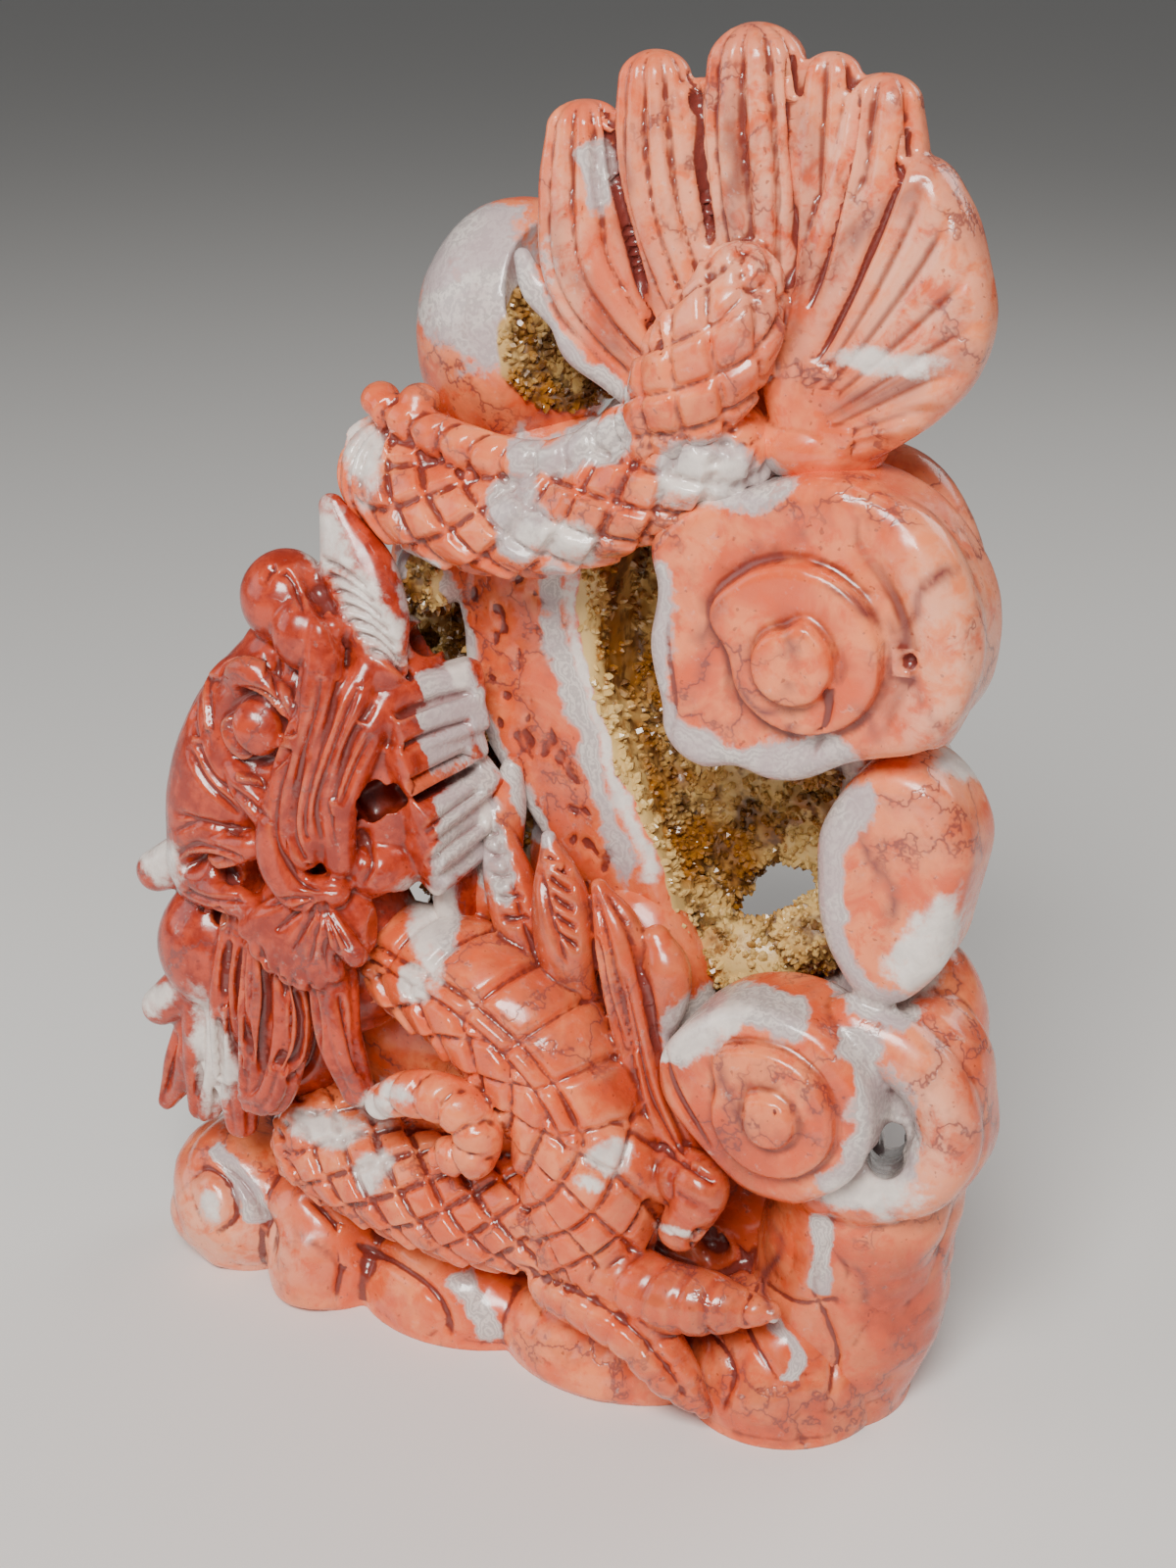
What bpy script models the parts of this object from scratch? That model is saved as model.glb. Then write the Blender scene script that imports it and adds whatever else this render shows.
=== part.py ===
"""Carved agate dragon on clouds: a geode slab with the dragon's head at the left, its scaled
body winding down to a clawed foot, a coil and a fluted tail fan at the top, and swirl clouds
up the right side. It is cut from one stone, so it is one solid.

The carving is laid out in units, 180 of them from the underside to the top of the tail fan.
X runs to the viewer's right, Y runs from the front to the back, Z runs up.
"""

import math

import bmesh
import bpy
from mathutils import Matrix, Vector

HEIGHT = 0.180
UNITS_HIGH = 180.0
UNIT = HEIGHT / UNITS_HIGH

GRAIN = 0.75 * UNIT
SMOOTHING_PASSES = 3
FACES_KEPT = 9400

BALL_SEGMENTS = 28
BALL_RINGS = 16
LIMB_SIDES = 4
LIMB_STEPS = 7
PLATE_ROUNDING = 2.2

STONE_COLOUR = (0.78, 0.33, 0.22, 1.0)
STONE_ROUGHNESS = 0.22


def clear_scene():
    for obj in list(bpy.data.objects):
        bpy.data.objects.remove(obj, do_unlink=True)


def stone_material():
    material = bpy.data.materials.new("polished_agate")
    material.use_nodes = True
    shader = material.node_tree.nodes["Principled BSDF"]
    shader.inputs["Base Color"].default_value = STONE_COLOUR
    shader.inputs["Roughness"].default_value = STONE_ROUGHNESS
    shader.inputs["Metallic"].default_value = 0.0
    return material


class Rough:
    """The rough carving: every form is added here as a closed shell, and they are fused later."""

    def __init__(self):
        self.shells = bmesh.new()

    def take(self, obj):
        """Adds what an object evaluates to, and removes the object."""
        graph = bpy.context.evaluated_depsgraph_get()
        graph.update()
        mesh = bpy.data.meshes.new_from_object(obj.evaluated_get(graph))
        mesh.transform(obj.matrix_world)
        shell = bmesh.new()
        shell.from_mesh(mesh)
        bmesh.ops.remove_doubles(shell, verts=shell.verts, dist=1e-6)
        bmesh.ops.recalc_face_normals(shell, faces=shell.faces)
        shell.to_mesh(mesh)
        shell.free()
        self.shells.from_mesh(mesh)
        bpy.data.meshes.remove(mesh)
        bpy.data.objects.remove(obj, do_unlink=True)

    def ball(self, centre, radii, turn=0.0):
        """A rounded mass. turn leans it in the front plane, in degrees, clockwise from the front."""
        bpy.ops.mesh.primitive_uv_sphere_add(
            segments=BALL_SEGMENTS, ring_count=BALL_RINGS, radius=1.0
        )
        obj = bpy.context.object
        obj.matrix_world = (
            Matrix.Translation(Vector(centre) * UNIT)
            @ Matrix.Rotation(math.radians(turn), 4, "Y")
            @ Matrix.Diagonal((*(Vector(radii) * UNIT), 1.0))
        )
        bpy.context.view_layer.update()
        self.take(obj)

    def limb(self, stations, depth=1.0):
        """A smooth tapering roll through stations of (x, y, z, radius). depth stretches or
        flattens its section from front to back."""
        data = bpy.data.curves.new("limb", "CURVE")
        data.dimensions = "3D"
        data.bevel_depth = UNIT
        data.bevel_resolution = LIMB_SIDES
        data.resolution_u = LIMB_STEPS
        data.use_fill_caps = True
        spline = data.splines.new("BEZIER")
        spline.bezier_points.add(len(stations) - 1)
        for point, (x, y, z, radius) in zip(spline.bezier_points, stations):
            point.co = Vector((x, y / depth, z)) * UNIT
            point.radius = radius
            point.handle_left_type = point.handle_right_type = "AUTO"
        obj = bpy.data.objects.new("limb", data)
        bpy.context.scene.collection.objects.link(obj)
        obj.scale.y = depth
        bpy.context.view_layer.update()
        self.take(obj)
        for x, y, z, radius in (stations[0], stations[-1]):
            self.ball((x, y, z), (radius, radius * depth, radius))

    def plate(self, outline, front, back, rounding=PLATE_ROUNDING):
        """A slab with a smooth outline of (x, z) points, between two depths, its edges rounded."""
        data = bpy.data.curves.new("plate", "CURVE")
        data.dimensions = "2D"
        data.fill_mode = "BOTH"
        data.resolution_u = LIMB_STEPS
        data.extrude = ((back - front) / 2 - rounding) * UNIT
        data.bevel_depth = rounding * UNIT
        data.bevel_resolution = 3
        data.offset = -rounding * UNIT
        spline = data.splines.new("BEZIER")
        spline.bezier_points.add(len(outline) - 1)
        spline.use_cyclic_u = True
        for point, (x, z) in zip(spline.bezier_points, outline):
            point.co = Vector((x, z, 0.0)) * UNIT
            point.handle_left_type = point.handle_right_type = "AUTO"
        obj = bpy.data.objects.new("plate", data)
        bpy.context.scene.collection.objects.link(obj)
        obj.matrix_world = Matrix.Translation(
            (0.0, (front + back) / 2 * UNIT, 0.0)
        ) @ Matrix.Rotation(math.radians(90.0), 4, "X")
        bpy.context.view_layer.update()
        self.take(obj)


def swirl(rough, centre, face, first, last, turn, rise, side=-1):
    """A raised snail step on a cloud's face: its radius grows from first to last in one turn,
    which starts at turn degrees, anticlockwise from the right. side is 1 on the back."""
    steps = 14
    x, z = centre
    outline = []
    for step in range(steps):
        angle = math.radians(turn + 360.0 * step / steps)
        radius = first + (last - first) * step / steps
        outline.append((x + radius * math.cos(angle), z + radius * math.sin(angle)))
    edge, root = face + side * rise, face - side * 4.0
    rough.plate(outline, min(edge, root), max(edge, root), rounding=1.1)


def base_rock(rough):
    rough.limb([(-44, -3, 5, 11), (0, -3, 4, 12), (38, -3, 4, 12)])
    rough.ball((-49, -9, 9), (12.2, 12, 12.5))
    rough.ball((-33.5, -11, 6), (10, 11, 13), turn=-14)
    rough.ball((-13, -6, 3), (18, 15, 11))
    rough.ball((12, -7, 3), (19, 15.5, 11))
    rough.ball((36, -8, 4), (14, 14, 15))
    rough.ball((-36, 2, 12), (17, 12, 15))
    rough.ball((-8, 4, 18), (28, 11, 22))
    rough.ball((22, 4, 24), (24, 12, 28))


def right_clouds(rough):
    rough.limb([(38, -3, -2, 13), (42.5, -3, 16, 13), (45.5, -3, 36, 13)])
    rough.plate(
        [(22.5, 52), (27, 60), (37, 64), (46, 61), (51, 51), (47, 41), (38, 37.5), (28, 43)],
        -22, -8,
    )
    swirl(rough, (38.5, 50.5), -22, 8.0, 10.5, 200, 2.0)
    swirl(rough, (38.5, 50), -24, 3.8, 4.6, 200, 1.6)
    rough.plate(
        [(43, 38), (50, 34.5), (57, 36), (62, 42), (62.5, 51), (59.5, 60), (52, 63), (45, 57)],
        -17, -3, 4.0,
    )
    rough.ball((50, 0, 54), (9, 10, 14))
    rough.plate(
        [(41, 88), (40, 79), (42.5, 69), (48.5, 64), (55, 68.5), (58, 78), (58.5, 89), (50, 96)],
        -15, -2, 4.5,
    )
    rough.ball((45, 3, 77), (8.5, 9, 20))
    rough.plate(
        [(20, 121), (20, 109), (20.5, 98), (25.5, 93), (34, 93), (45, 96.5), (55.5, 101),
         (59, 111), (55, 123), (45, 129.5), (32, 128)],
        -19, -5, 3.0,
    )
    rough.ball((45.5, -10, 113), (12, 10.5, 15))
    swirl(rough, (39.5, 110), -19, 9.0, 11.5, 190, 2.2)
    swirl(rough, (39, 110.5), -21.5, 4.8, 5.8, 190, 2.0)
    rough.ball((41, 2, 108), (14, 9, 22))
    rough.ball((46, 2, 48), (12, 9, 18))


def column(rough):
    rough.plate(
        [(-12, 118), (-12.5, 100), (-11, 90), (-6, 81), (1, 71), (9, 58), (18, 48), (20, 58),
         (16, 73), (12, 84), (8, 93), (7, 104), (7, 118)],
        -7, 8,
    )
    rough.ball((-5, 6, 100), (9, 7, 26))
    rough.ball((4, 5, 66), (14, 9, 20))
    rough.ball((-15.5, -7, 109.5), (4.5, 7, 5))


def geode_wall(rough):
    rough.plate(
        [(2, 118), (3, 96), (9, 80), (15, 64), (18, 44), (44, 46), (44, 70), (45, 96),
         (42, 118), (22, 122)],
        5, 12,
    )
    rough.plate(
        [(-30, 104), (-31, 88), (-27, 70), (-22, 52), (-4, 46), (12, 56), (6, 90), (2, 118),
         (-14, 122), (-25, 116)],
        3, 10,
    )
    rough.ball((14, 6, 56), (14, 9, 12))
    rough.ball((30, 8, 50), (14, 8, 10))
    rough.ball((20, 9, 106), (17, 6, 18))
    rough.ball((-20, 5, 80), (9, 6, 26))
    rough.ball((-22, 0, 40), (15, 10, 16))


def back_clouds(rough):
    rough.plate(
        [(6, 88), (10, 104), (24, 114), (38, 108), (41, 93), (34, 82), (24, 80), (13, 81)],
        9, 14.5,
    )
    swirl(rough, (24, 97), 14.5, 8.5, 11.5, 30, 2.0, side=1)
    rough.plate(
        [(-26, 62), (-25, 76), (-15, 84), (-3, 78), (0, 66), (-6, 56), (-16, 53)], 7, 13,
    )
    swirl(rough, (-13, 68), 13, 6.5, 9.0, 150, 2.0, side=1)
    swirl(rough, (18, 24), 15.5, 8.0, 11.0, 80, 2.0, side=1)


def head(rough):
    rough.ball((-27, -17, 86), (15, 10, 17), turn=-14)
    rough.limb([(-32, -18, 98, 6), (-37, -18, 88, 9), (-40.5, -19, 78, 9), (-42.5, -20, 69, 7.5)])
    rough.ball((-45, -19, 55), (8, 8, 9.5))
    rough.ball((-30, -15, 58), (15, 9, 15))
    rough.ball((-37, -14, 46), (10, 8, 16))
    rough.limb([(-49, -20, 67, 3.8), (-53, -20.5, 65, 3.0)])
    rough.limb([(-49, -20, 48, 3.8), (-54, -20.5, 44, 2.8)])
    rough.ball((-30, -20, 107), (6.0, 6, 6.2))
    rough.ball((-25.5, -23, 104), (4.2, 4.5, 5))
    rough.ball((-21, -14, 97), (9, 9, 8))
    rough.limb(
        [(-16.5, -20, 100, 3.6), (-18.5, -19, 106, 5.4), (-21, -18, 112, 5.0), (-24, -18, 119, 2)],
        depth=0.7,
    )
    eye(rough)
    mane(rough)
    cheek_fin(rough)
    beard(rough)


def eye(rough):
    rough.ball((-31.5, -25, 91), (6.0, 4, 6.2))
    rough.limb([(-38, -22, 93, 1.6), (-33, -25.5, 98, 1.8), (-26, -26, 95, 1.6)])
    rough.limb([(-38, -23, 88, 1.8), (-33, -27, 83, 2.0), (-27, -27, 77, 1.6)])
    rough.limb([(-47, -22, 71, 2.0), (-40, -26, 72.5, 2.4), (-33, -27, 75, 2.0)])
    rough.limb([(-46, -23, 65, 1.8), (-40, -26, 66.5, 2.2), (-33, -27, 66, 1.8)])


def mane(rough):
    rough.limb(
        [(-22, -24, 105, 2.6), (-22.5, -26, 95, 2.8), (-26, -27, 85, 2.8),
         (-28, -28, 76, 2.8), (-25, -28, 70.5, 2.6), (-20.5, -27, 71, 2.2)]
    )
    rough.limb([(-15.5, -23, 100, 2.4), (-19, -26, 93, 2.8), (-23, -27, 84, 2.8), (-24, -28, 76, 2.2)])
    rough.limb([(-12, -22, 98, 2.2), (-15, -25, 91, 2.6), (-19, -26, 83, 2.8), (-20, -26, 75, 2.2)])
    for low, high in ((86.5, 91.5), (90.5, 96.5)):
        rough.limb([(-14, -21, low, 3.0), (-8, -13, high, 3.4), (-5, -5, high + 2, 3.4)])
    for low, high in ((74.5, 80.5), (79, 85.5)):
        rough.limb([(-12, -21, low, 3.0), (-6, -13, high - 1, 3.4), (-3, -5, high, 3.4)])
    rough.ball((-17, -20, 73), (5, 6, 4.5))
    rough.ball((-11, -10, 66), (3.2, 6, 8))


def cheek_fin(rough):
    rough.ball((-25, -24, 65), (9, 4.5, 7))
    for x, z in ((-33, 63.5), (-29.5, 59.5), (-25, 58), (-20.5, 60), (-17, 63)):
        rough.limb([(-24.5, -26, 70, 1.8), ((x - 24.5) / 2, -28, (z + 70) / 2, 2.4), (x, -28, z, 2.2)])


def beard(rough):
    rough.limb([(-38, -23, 62, 2.8), (-39, -25, 51, 3.0), (-40.5, -24, 39, 2.6)])
    rough.limb([(-33.5, -25, 59, 2.6), (-34, -26, 49, 3.0), (-36, -25, 38, 2.4)])
    rough.limb([(-29, -25, 56, 2.6), (-29, -26, 47, 2.8), (-32, -26, 38, 2.8), (-36, -25, 36, 2.4)])
    rough.limb([(-22.5, -25, 58, 3.2), (-21, -26.5, 50, 3.0), (-18.5, -26.5, 42, 2.6)])
    rough.limb([(-46, -20, 47, 4), (-46.5, -20, 38, 4), (-48, -20, 29.5, 3)])
    rough.limb([(-49, -19, 42, 3), (-52, -19, 34, 3), (-55.5, -19, 27.5, 1.6)])
    rough.limb([(-42, -20, 38, 4), (-42, -20, 28, 3)])


def body(rough):
    rough.limb(
        [(-16, -15, 57, 8), (-4, -17, 54.5, 9.5), (6.5, -17, 46.5, 10), (11.5, -17, 36, 10.3),
         (12, -17, 27, 9.6), (10.5, -18, 19, 7.4)]
    )
    rough.limb([(-30, -15.5, 26, 8.6), (-18, -17, 24, 8.6), (-6, -17, 22.5, 8.3), (6, -16, 23, 8)])
    rough.ball((0, -8, 34), (18, 9, 14))


def legs(rough):
    rough.limb(
        [(-15, -26, 41, 2.4), (-10, -27, 44, 3.1), (-4, -27, 44.3, 3.3), (-0.5, -26.5, 40.8, 3.3),
         (-1.5, -26, 36.3, 3.1), (-5.5, -25.5, 35, 2.6)]
    )
    rough.limb([(12, -19, 20, 5.5), (26, -22, 20, 4.6), (36.5, -21, 20.5, 3.2)])
    rough.limb([(9, -19, 17, 6), (20, -22.5, 15, 4.8), (28, -23, 8, 3.4)])
    rough.limb([(20, -16, 34, 4), (28, -19, 36, 3.8), (25.5, -20, 29, 2.8)])
    rough.limb([(7.9, -13, 73.5, 1.6), (6.5, -13.5, 66, 4.0), (7.5, -13, 57, 3)])
    rough.limb([(-4, -11, 76, 2.6), (-1.5, -12, 67, 3.6), (1, -13, 59, 3)])
    rough.limb([(15.5, -13, 63, 4), (17.5, -14, 54, 3.8), (19, -14, 44, 4), (23, -14, 36, 4)])
    rough.ball((-8, -7, 66), (4, 5, 6))
    rough.ball((12, -5, 48), (13, 9, 24))


def top_coil(rough):
    rough.limb(
        [(-13, 2, 123, 6), (-18.5, -5, 123, 6.5), (-19, -12, 122.5, 6.8), (-9, -15, 119.6, 6.8),
         (0, -15.5, 119.2, 6.5), (8, -15.5, 121, 6.5), (17, -15, 125.5, 6.6), (26, -14, 131, 7)]
    )
    rough.limb(
        [(-18, -14, 131, 2.4), (-9, -15.5, 128.8, 2.8), (-2, -16, 127.4, 2.8), (4, -16, 127.4, 2.5),
         (9, -16, 129, 2.5), (15, -15.5, 132.5, 2.8)]
    )
    rough.ball((-19.5, -13, 132), (2.6, 2.8, 2.4))
    rough.ball((-14, -13, 132.3), (2.6, 2.8, 2.4))
    rough.ball((-4, 1, 122), (14, 9, 8))
    rough.ball((16, -2, 127), (12, 8, 8))


def nodule(rough):
    rough.ball((-8.5, 3, 138.5), (13.4, 12, 16.8), turn=6)


PETALS = (
    ((7.3, 163.5, 4.8), (7.8, 152, 6.0), (12.5, 144, 5.2), (19, 137.5, 3.0), 3),
    ((15.9, 169.8, 4.4), (16.5, 161, 4.9), (20, 151, 4.2), (23, 142, 2.4), 3),
    ((21.3, 169.0, 2.2), (22.3, 162, 2.4), (24.3, 155, 2.6), (26, 148, 2.4), 1),
    ((27.9, 172.4, 5.9), (28.8, 164, 5.8), (29.5, 157, 5.4), (30, 148, 4.5), 3),
    ((36.8, 171.2, 3.2), (37, 164, 3.8), (36, 154, 4.2), (33, 143, 3.6), 2),
    ((41.4, 168.2, 4.7), (40.6, 160, 5.2), (38.2, 150, 4.6), (34, 140, 3.4), 2),
    ((48.6, 159.2, 4.9), (45.6, 152, 5.8), (41, 145, 5.0), (35, 136, 3.4), 3),
    ((51.2, 150.6, 5.4), (47, 146.5, 5.4), (41.5, 141, 4.6), (35, 134, 3.4), 3),
    ((49.4, 141.8, 5.4), (45, 138.5, 5.0), (40, 135.5, 4.4), (34, 131.5, 3.6), 3),
)


def tail_fan(rough):
    """Petals that widen from the scaled root to rounded tips, each with ribs along its face."""
    for *stations, ribs in PETALS:
        rough.limb([(x, -10, z, radius) for x, z, radius in stations], depth=0.85)
        across = Vector((stations[0][0] - stations[-1][0], stations[0][1] - stations[-1][1]))
        across = across.normalized().orthogonal()
        for rib in range(ribs):
            place = (2 * rib + 1) / ribs - 1
            lean = 0.62 * place
            rough.limb(
                [(x + across.x * lean * radius, -10 - 0.85 * radius * math.cos(lean) + 0.4,
                  z + across.y * lean * radius, 0.22 * radius + 0.5)
                 for x, z, radius in stations]
            )
    rough.plate(
        [(5, 158), (8, 164), (17, 169), (28, 172.5), (40, 170), (48, 161), (53.5, 150),
         (52, 140), (44, 133), (30, 129), (16, 137), (6, 147)],
        -12.5, -6.5, 2.6,
    )
    rough.limb([(20.5, -16.5, 133.5, 5.2), (25.5, -18, 141, 6.8), (30, -17.5, 149, 5.6)], depth=0.8)
    rough.ball((36, -9, 132), (9, 7, 5))
    rough.limb([(0, -11, 149, 1.6), (5, -11, 143, 2.0), (11, -11.5, 138, 2.2), (17, -12, 135, 2.2)])


def hollows(cutters):
    """Shapes cut from the fused stone: the nodule's pocket and the holes that go right through."""
    cutters.ball((2.5, -0.5, 138.5), (9.5, 10, 8))
    cutters.limb([(33, -10, 76, 5.5), (27, 8, 66, 5.5), (23, 24, 59, 6.5)])
    cutters.limb([(54, -22, 49, 2.6), (48.5, -5, 41, 2.6), (42, 16, 33, 2.8)])
    cutters.ball((30, -15, 28), (4, 5, 4))
    cutters.limb([(-7.3, -24, 106.3, 2.4), (-17, -7.5, 99.5, 2.4), (-30.5, 16, 90.9, 3)])
    cutters.limb([(1, -12, 87, 1.6), (-4, -4, 82.5, 1.8), (-14, 14, 75, 2.4)])
    cutters.limb([(-15.5, -24, 84, 2.2), (-26, -6, 75, 2.2), (-40, 16, 65, 2.4)])


def mesh_object(name, shells, collection):
    mesh = bpy.data.meshes.new(name)
    shells.to_mesh(mesh)
    shells.free()
    obj = bpy.data.objects.new(name, mesh)
    collection.objects.link(obj)
    return obj


def frozen(obj):
    """Applies an object's modifiers to its mesh."""
    graph = bpy.context.evaluated_depsgraph_get()
    graph.update()
    mesh = bpy.data.meshes.new_from_object(obj.evaluated_get(graph))
    obj.modifiers.clear()
    obj.data = mesh


def fuse(obj):
    remesh = obj.modifiers.new("fuse", "REMESH")
    remesh.mode = "VOXEL"
    remesh.voxel_size = GRAIN
    frozen(obj)


def keep_largest_body(obj):
    """Drops what the fusing seals off inside the stone, and any crumb beside it."""
    shell = bmesh.new()
    shell.from_mesh(obj.data)
    left = set(shell.verts)
    bodies = []
    while left:
        body = {left.pop()}
        edge_of_body = list(body)
        while edge_of_body:
            vert = edge_of_body.pop()
            for edge in vert.link_edges:
                other = edge.other_vert(vert)
                if other not in body:
                    body.add(other)
                    edge_of_body.append(other)
        left -= body
        bodies.append(body)
    largest = max(bodies, key=len)
    crumbs = [vert for vert in shell.verts if vert not in largest]
    bmesh.ops.delete(shell, geom=crumbs, context="VERTS")
    shell.to_mesh(obj.data)
    shell.free()


def stand_flat(obj):
    """Cuts the underside flat at the table and closes it."""
    shell = bmesh.new()
    shell.from_mesh(obj.data)
    everything = shell.verts[:] + shell.edges[:] + shell.faces[:]
    bmesh.ops.bisect_plane(
        shell, geom=everything, plane_co=(0.0, 0.0, 0.0), plane_no=(0.0, 0.0, 1.0),
        clear_inner=True,
    )
    rim = [edge for edge in shell.edges if edge.is_boundary]
    underside = bmesh.ops.edgeloop_fill(shell, edges=rim)["faces"]
    bmesh.ops.triangulate(shell, faces=underside)
    bmesh.ops.recalc_face_normals(shell, faces=shell.faces)
    shell.to_mesh(obj.data)
    shell.free()


def main():
    clear_scene()
    carving_parts = bpy.data.collections.new("agate_dragon")
    cutting_parts = bpy.data.collections.new("cutters")
    for collection in (carving_parts, cutting_parts):
        bpy.context.scene.collection.children.link(collection)

    rough = Rough()
    for form in (base_rock, right_clouds, column, geode_wall, back_clouds, head, body, legs,
                 top_coil, nodule, tail_fan):
        form(rough)
    dragon = mesh_object("dragon_carving", rough.shells, carving_parts)
    fuse(dragon)

    cutters = Rough()
    hollows(cutters)
    hollow_cutter = mesh_object("hollows", cutters.shells, cutting_parts)
    fuse(hollow_cutter)

    pocket_cut = dragon.modifiers.new("hollows", "BOOLEAN")
    pocket_cut.operation = "DIFFERENCE"
    pocket_cut.object = hollow_cutter
    frozen(dragon)
    fuse(dragon)
    smooth = dragon.modifiers.new("polish", "SMOOTH")
    smooth.factor = 0.5
    smooth.iterations = SMOOTHING_PASSES
    frozen(dragon)
    keep_largest_body(dragon)
    thin = dragon.modifiers.new("facets", "DECIMATE")
    thin.ratio = FACES_KEPT / (2 * len(dragon.data.polygons))
    frozen(dragon)
    stand_flat(dragon)

    hollow_cutter.hide_render = True
    hollow_cutter.display_type = "WIRE"
    dragon.data.materials.append(stone_material())


main()
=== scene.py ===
"""The agate dragon, dressed: the whole carving in fine relief, the crystals in its hollows, and
the floor, lights and camera that show it.

Forms are laid out in millimetres: X to the viewer's right, Y from front to back, Z up.
Lines cut on the front are drawn on an upright sheet, at the place where the camera sees them.
"""

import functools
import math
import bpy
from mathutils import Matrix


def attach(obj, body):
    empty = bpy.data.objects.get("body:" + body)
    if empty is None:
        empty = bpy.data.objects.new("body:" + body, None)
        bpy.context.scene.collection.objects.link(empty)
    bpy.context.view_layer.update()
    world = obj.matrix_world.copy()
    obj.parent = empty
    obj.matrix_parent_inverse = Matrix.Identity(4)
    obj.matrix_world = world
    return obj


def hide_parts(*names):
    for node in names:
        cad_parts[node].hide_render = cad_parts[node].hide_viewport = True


bl_info = {
    "name": "Agate dragon",
    "version": (1, 0, 0),
    "blender": (4, 5, 0),
    "location": "View3D > Sidebar > Agate dragon",
    "description": "Carves a dragon and clouds from a banded agate geode, and sets it up to be seen",
    "category": "Add Mesh",
}

import bmesh
import bpy
import numpy as np
from mathutils import Matrix, Vector

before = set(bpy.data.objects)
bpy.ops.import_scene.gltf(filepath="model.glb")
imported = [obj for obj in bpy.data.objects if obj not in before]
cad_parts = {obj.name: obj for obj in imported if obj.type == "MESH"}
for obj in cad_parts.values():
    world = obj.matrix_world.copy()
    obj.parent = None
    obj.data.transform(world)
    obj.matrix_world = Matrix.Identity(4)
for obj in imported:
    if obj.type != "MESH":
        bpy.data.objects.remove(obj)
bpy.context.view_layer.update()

UNIT = 0.001
STONE_NODE = "dragon_carving"
WALL_PIECE = "geode_wall"
CRYSTAL_PIECE = "druzy_crystals"

CAMERA_PLACE = np.array([129.2, -259.5, 196.7])
CAMERA_TURN = math.radians(26.0)
CAMERA_TILT = math.radians(22.0)
CAMERA_LENS = 54.0
LIGHT_TARGET = Vector((0.0, -0.01, 0.09))

# The upright sheets that lines are drawn on: depth, left, right, bottom and top
HEAD_SHEET = (-20.0, -64.0, 12.0, 16.0, 126.0)
FRONT_SHEET = (-15.0, -66.0, 70.0, -6.0, 186.0)
SHEET_PIXEL = 0.2
# From none to full: depths for the drawn lines and the crystal crust, heights for broken rock
HEAD_LINES = (-2.0, -6.0)
FRONT_LINES = (2.0, -2.0)
CRUST = (11.0, 9.0)
BROKEN_ROCK = (44.0, 30.0)
# How squarely a face looks at the camera, from no drawn line to a full one
FACING = (0.1, 0.4)

CRUMB_VOLUME = 20.0
MERGE_GAP = 1e-4
BALL_SEGMENTS = 40
BALL_RINGS = 24
CAP_RINGS = 7
PLATE_ROUNDING = 2.2
SWIRL_POINTS = 14
SWIRL_ROOT = 4.0
SWIRL_ROUNDING = 0.9

CRYSTAL_SEED = 7
CRYSTAL_ZONE = 0.6
CRYSTAL_FACING = 0.3
CRYSTAL_GROUP = 100
CRYSTAL_SIZES = (0.5, 1.3)
# Sockets of the Mix node for each kind: the two inputs and the output
MIX_SOCKETS = {"FLOAT": (2, 3, 0), "RGBA": (6, 7, 2)}


def as_mesh(shell, name):
    """A mesh made from a bmesh, which is freed."""
    mesh = bpy.data.meshes.new(name)
    shell.to_mesh(mesh)
    shell.free()
    return mesh


def gather(whole, part):
    """Adds one bmesh to another, and frees it."""
    mesh = as_mesh(part, "part")
    whole.from_mesh(mesh)
    bpy.data.meshes.remove(mesh)


def in_scene(name, data):
    thing = bpy.data.objects.new(name, data)
    bpy.context.scene.collection.objects.link(thing)
    return thing


def finished(holder):
    """An object's mesh with its modifiers applied."""
    graph = bpy.context.evaluated_depsgraph_get()
    graph.update()
    return bpy.data.meshes.new_from_object(holder.evaluated_get(graph))


def smooth_path(stations, step):
    """Rows about step apart on a smooth path through stations, with every column eased alike."""
    points = np.asarray(stations, float)
    padded = np.vstack([2 * points[0] - points[1], points, 2 * points[-1] - points[-2]])
    rows = []
    for before, start, end, after in zip(padded, padded[1:], padded[2:], padded[3:]):
        count = max(2, int(np.linalg.norm((end - start)[:3]) / step))
        t = np.linspace(0.0, 1.0, count, endpoint=False)[:, None]
        rows.append(0.5 * (
            2 * start + (end - before) * t
            + (2 * before - 5 * start + 4 * end - after) * t**2
            + (3 * start - before - 3 * end + after) * t**3
        ))
    rows.append(points[-1:])
    return np.vstack(rows)


def ease(low, high, value):
    """0 below low, 1 above high, smooth between."""
    t = np.clip((value - low) / (high - low), 0.0, 1.0)
    return t * t * (3 - 2 * t)


def lattice_hash(cells):
    mixed = np.sin(cells @ np.array([127.1, 311.7, 74.7])) * 43758.5453
    return mixed - np.floor(mixed)


def lumps(points, size):
    """Smooth lumpy values from -1 to 1 over space, with lumps about size across."""
    turned = points @ np.array(Matrix.Rotation(1.1, 3, (1, 2, 3)))
    return 0.6 * (lattice(turned, size) + lattice(points + 31.7, 1.37 * size))


def lattice(points, size):
    scaled = points / size
    base = np.floor(scaled)
    part = scaled - base
    part = part * part * (3 - 2 * part)
    total = np.zeros(len(points))
    for corner in np.ndindex(2, 2, 2):
        corner = np.array(corner)
        weight = np.prod(np.where(corner, part, 1 - part), axis=1)
        total += weight * lattice_hash(base + corner)
    return 2 * total - 1


def seen(points, plane):
    """Where points appear, from the camera, on the upright sheet at y = plane."""
    reach = (plane - CAMERA_PLACE[1]) / (points[:, 1] - CAMERA_PLACE[1])
    across = CAMERA_PLACE[0] + (points[:, 0] - CAMERA_PLACE[0]) * reach
    up = CAMERA_PLACE[2] + (points[:, 2] - CAMERA_PLACE[2]) * reach
    return across, up


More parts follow.
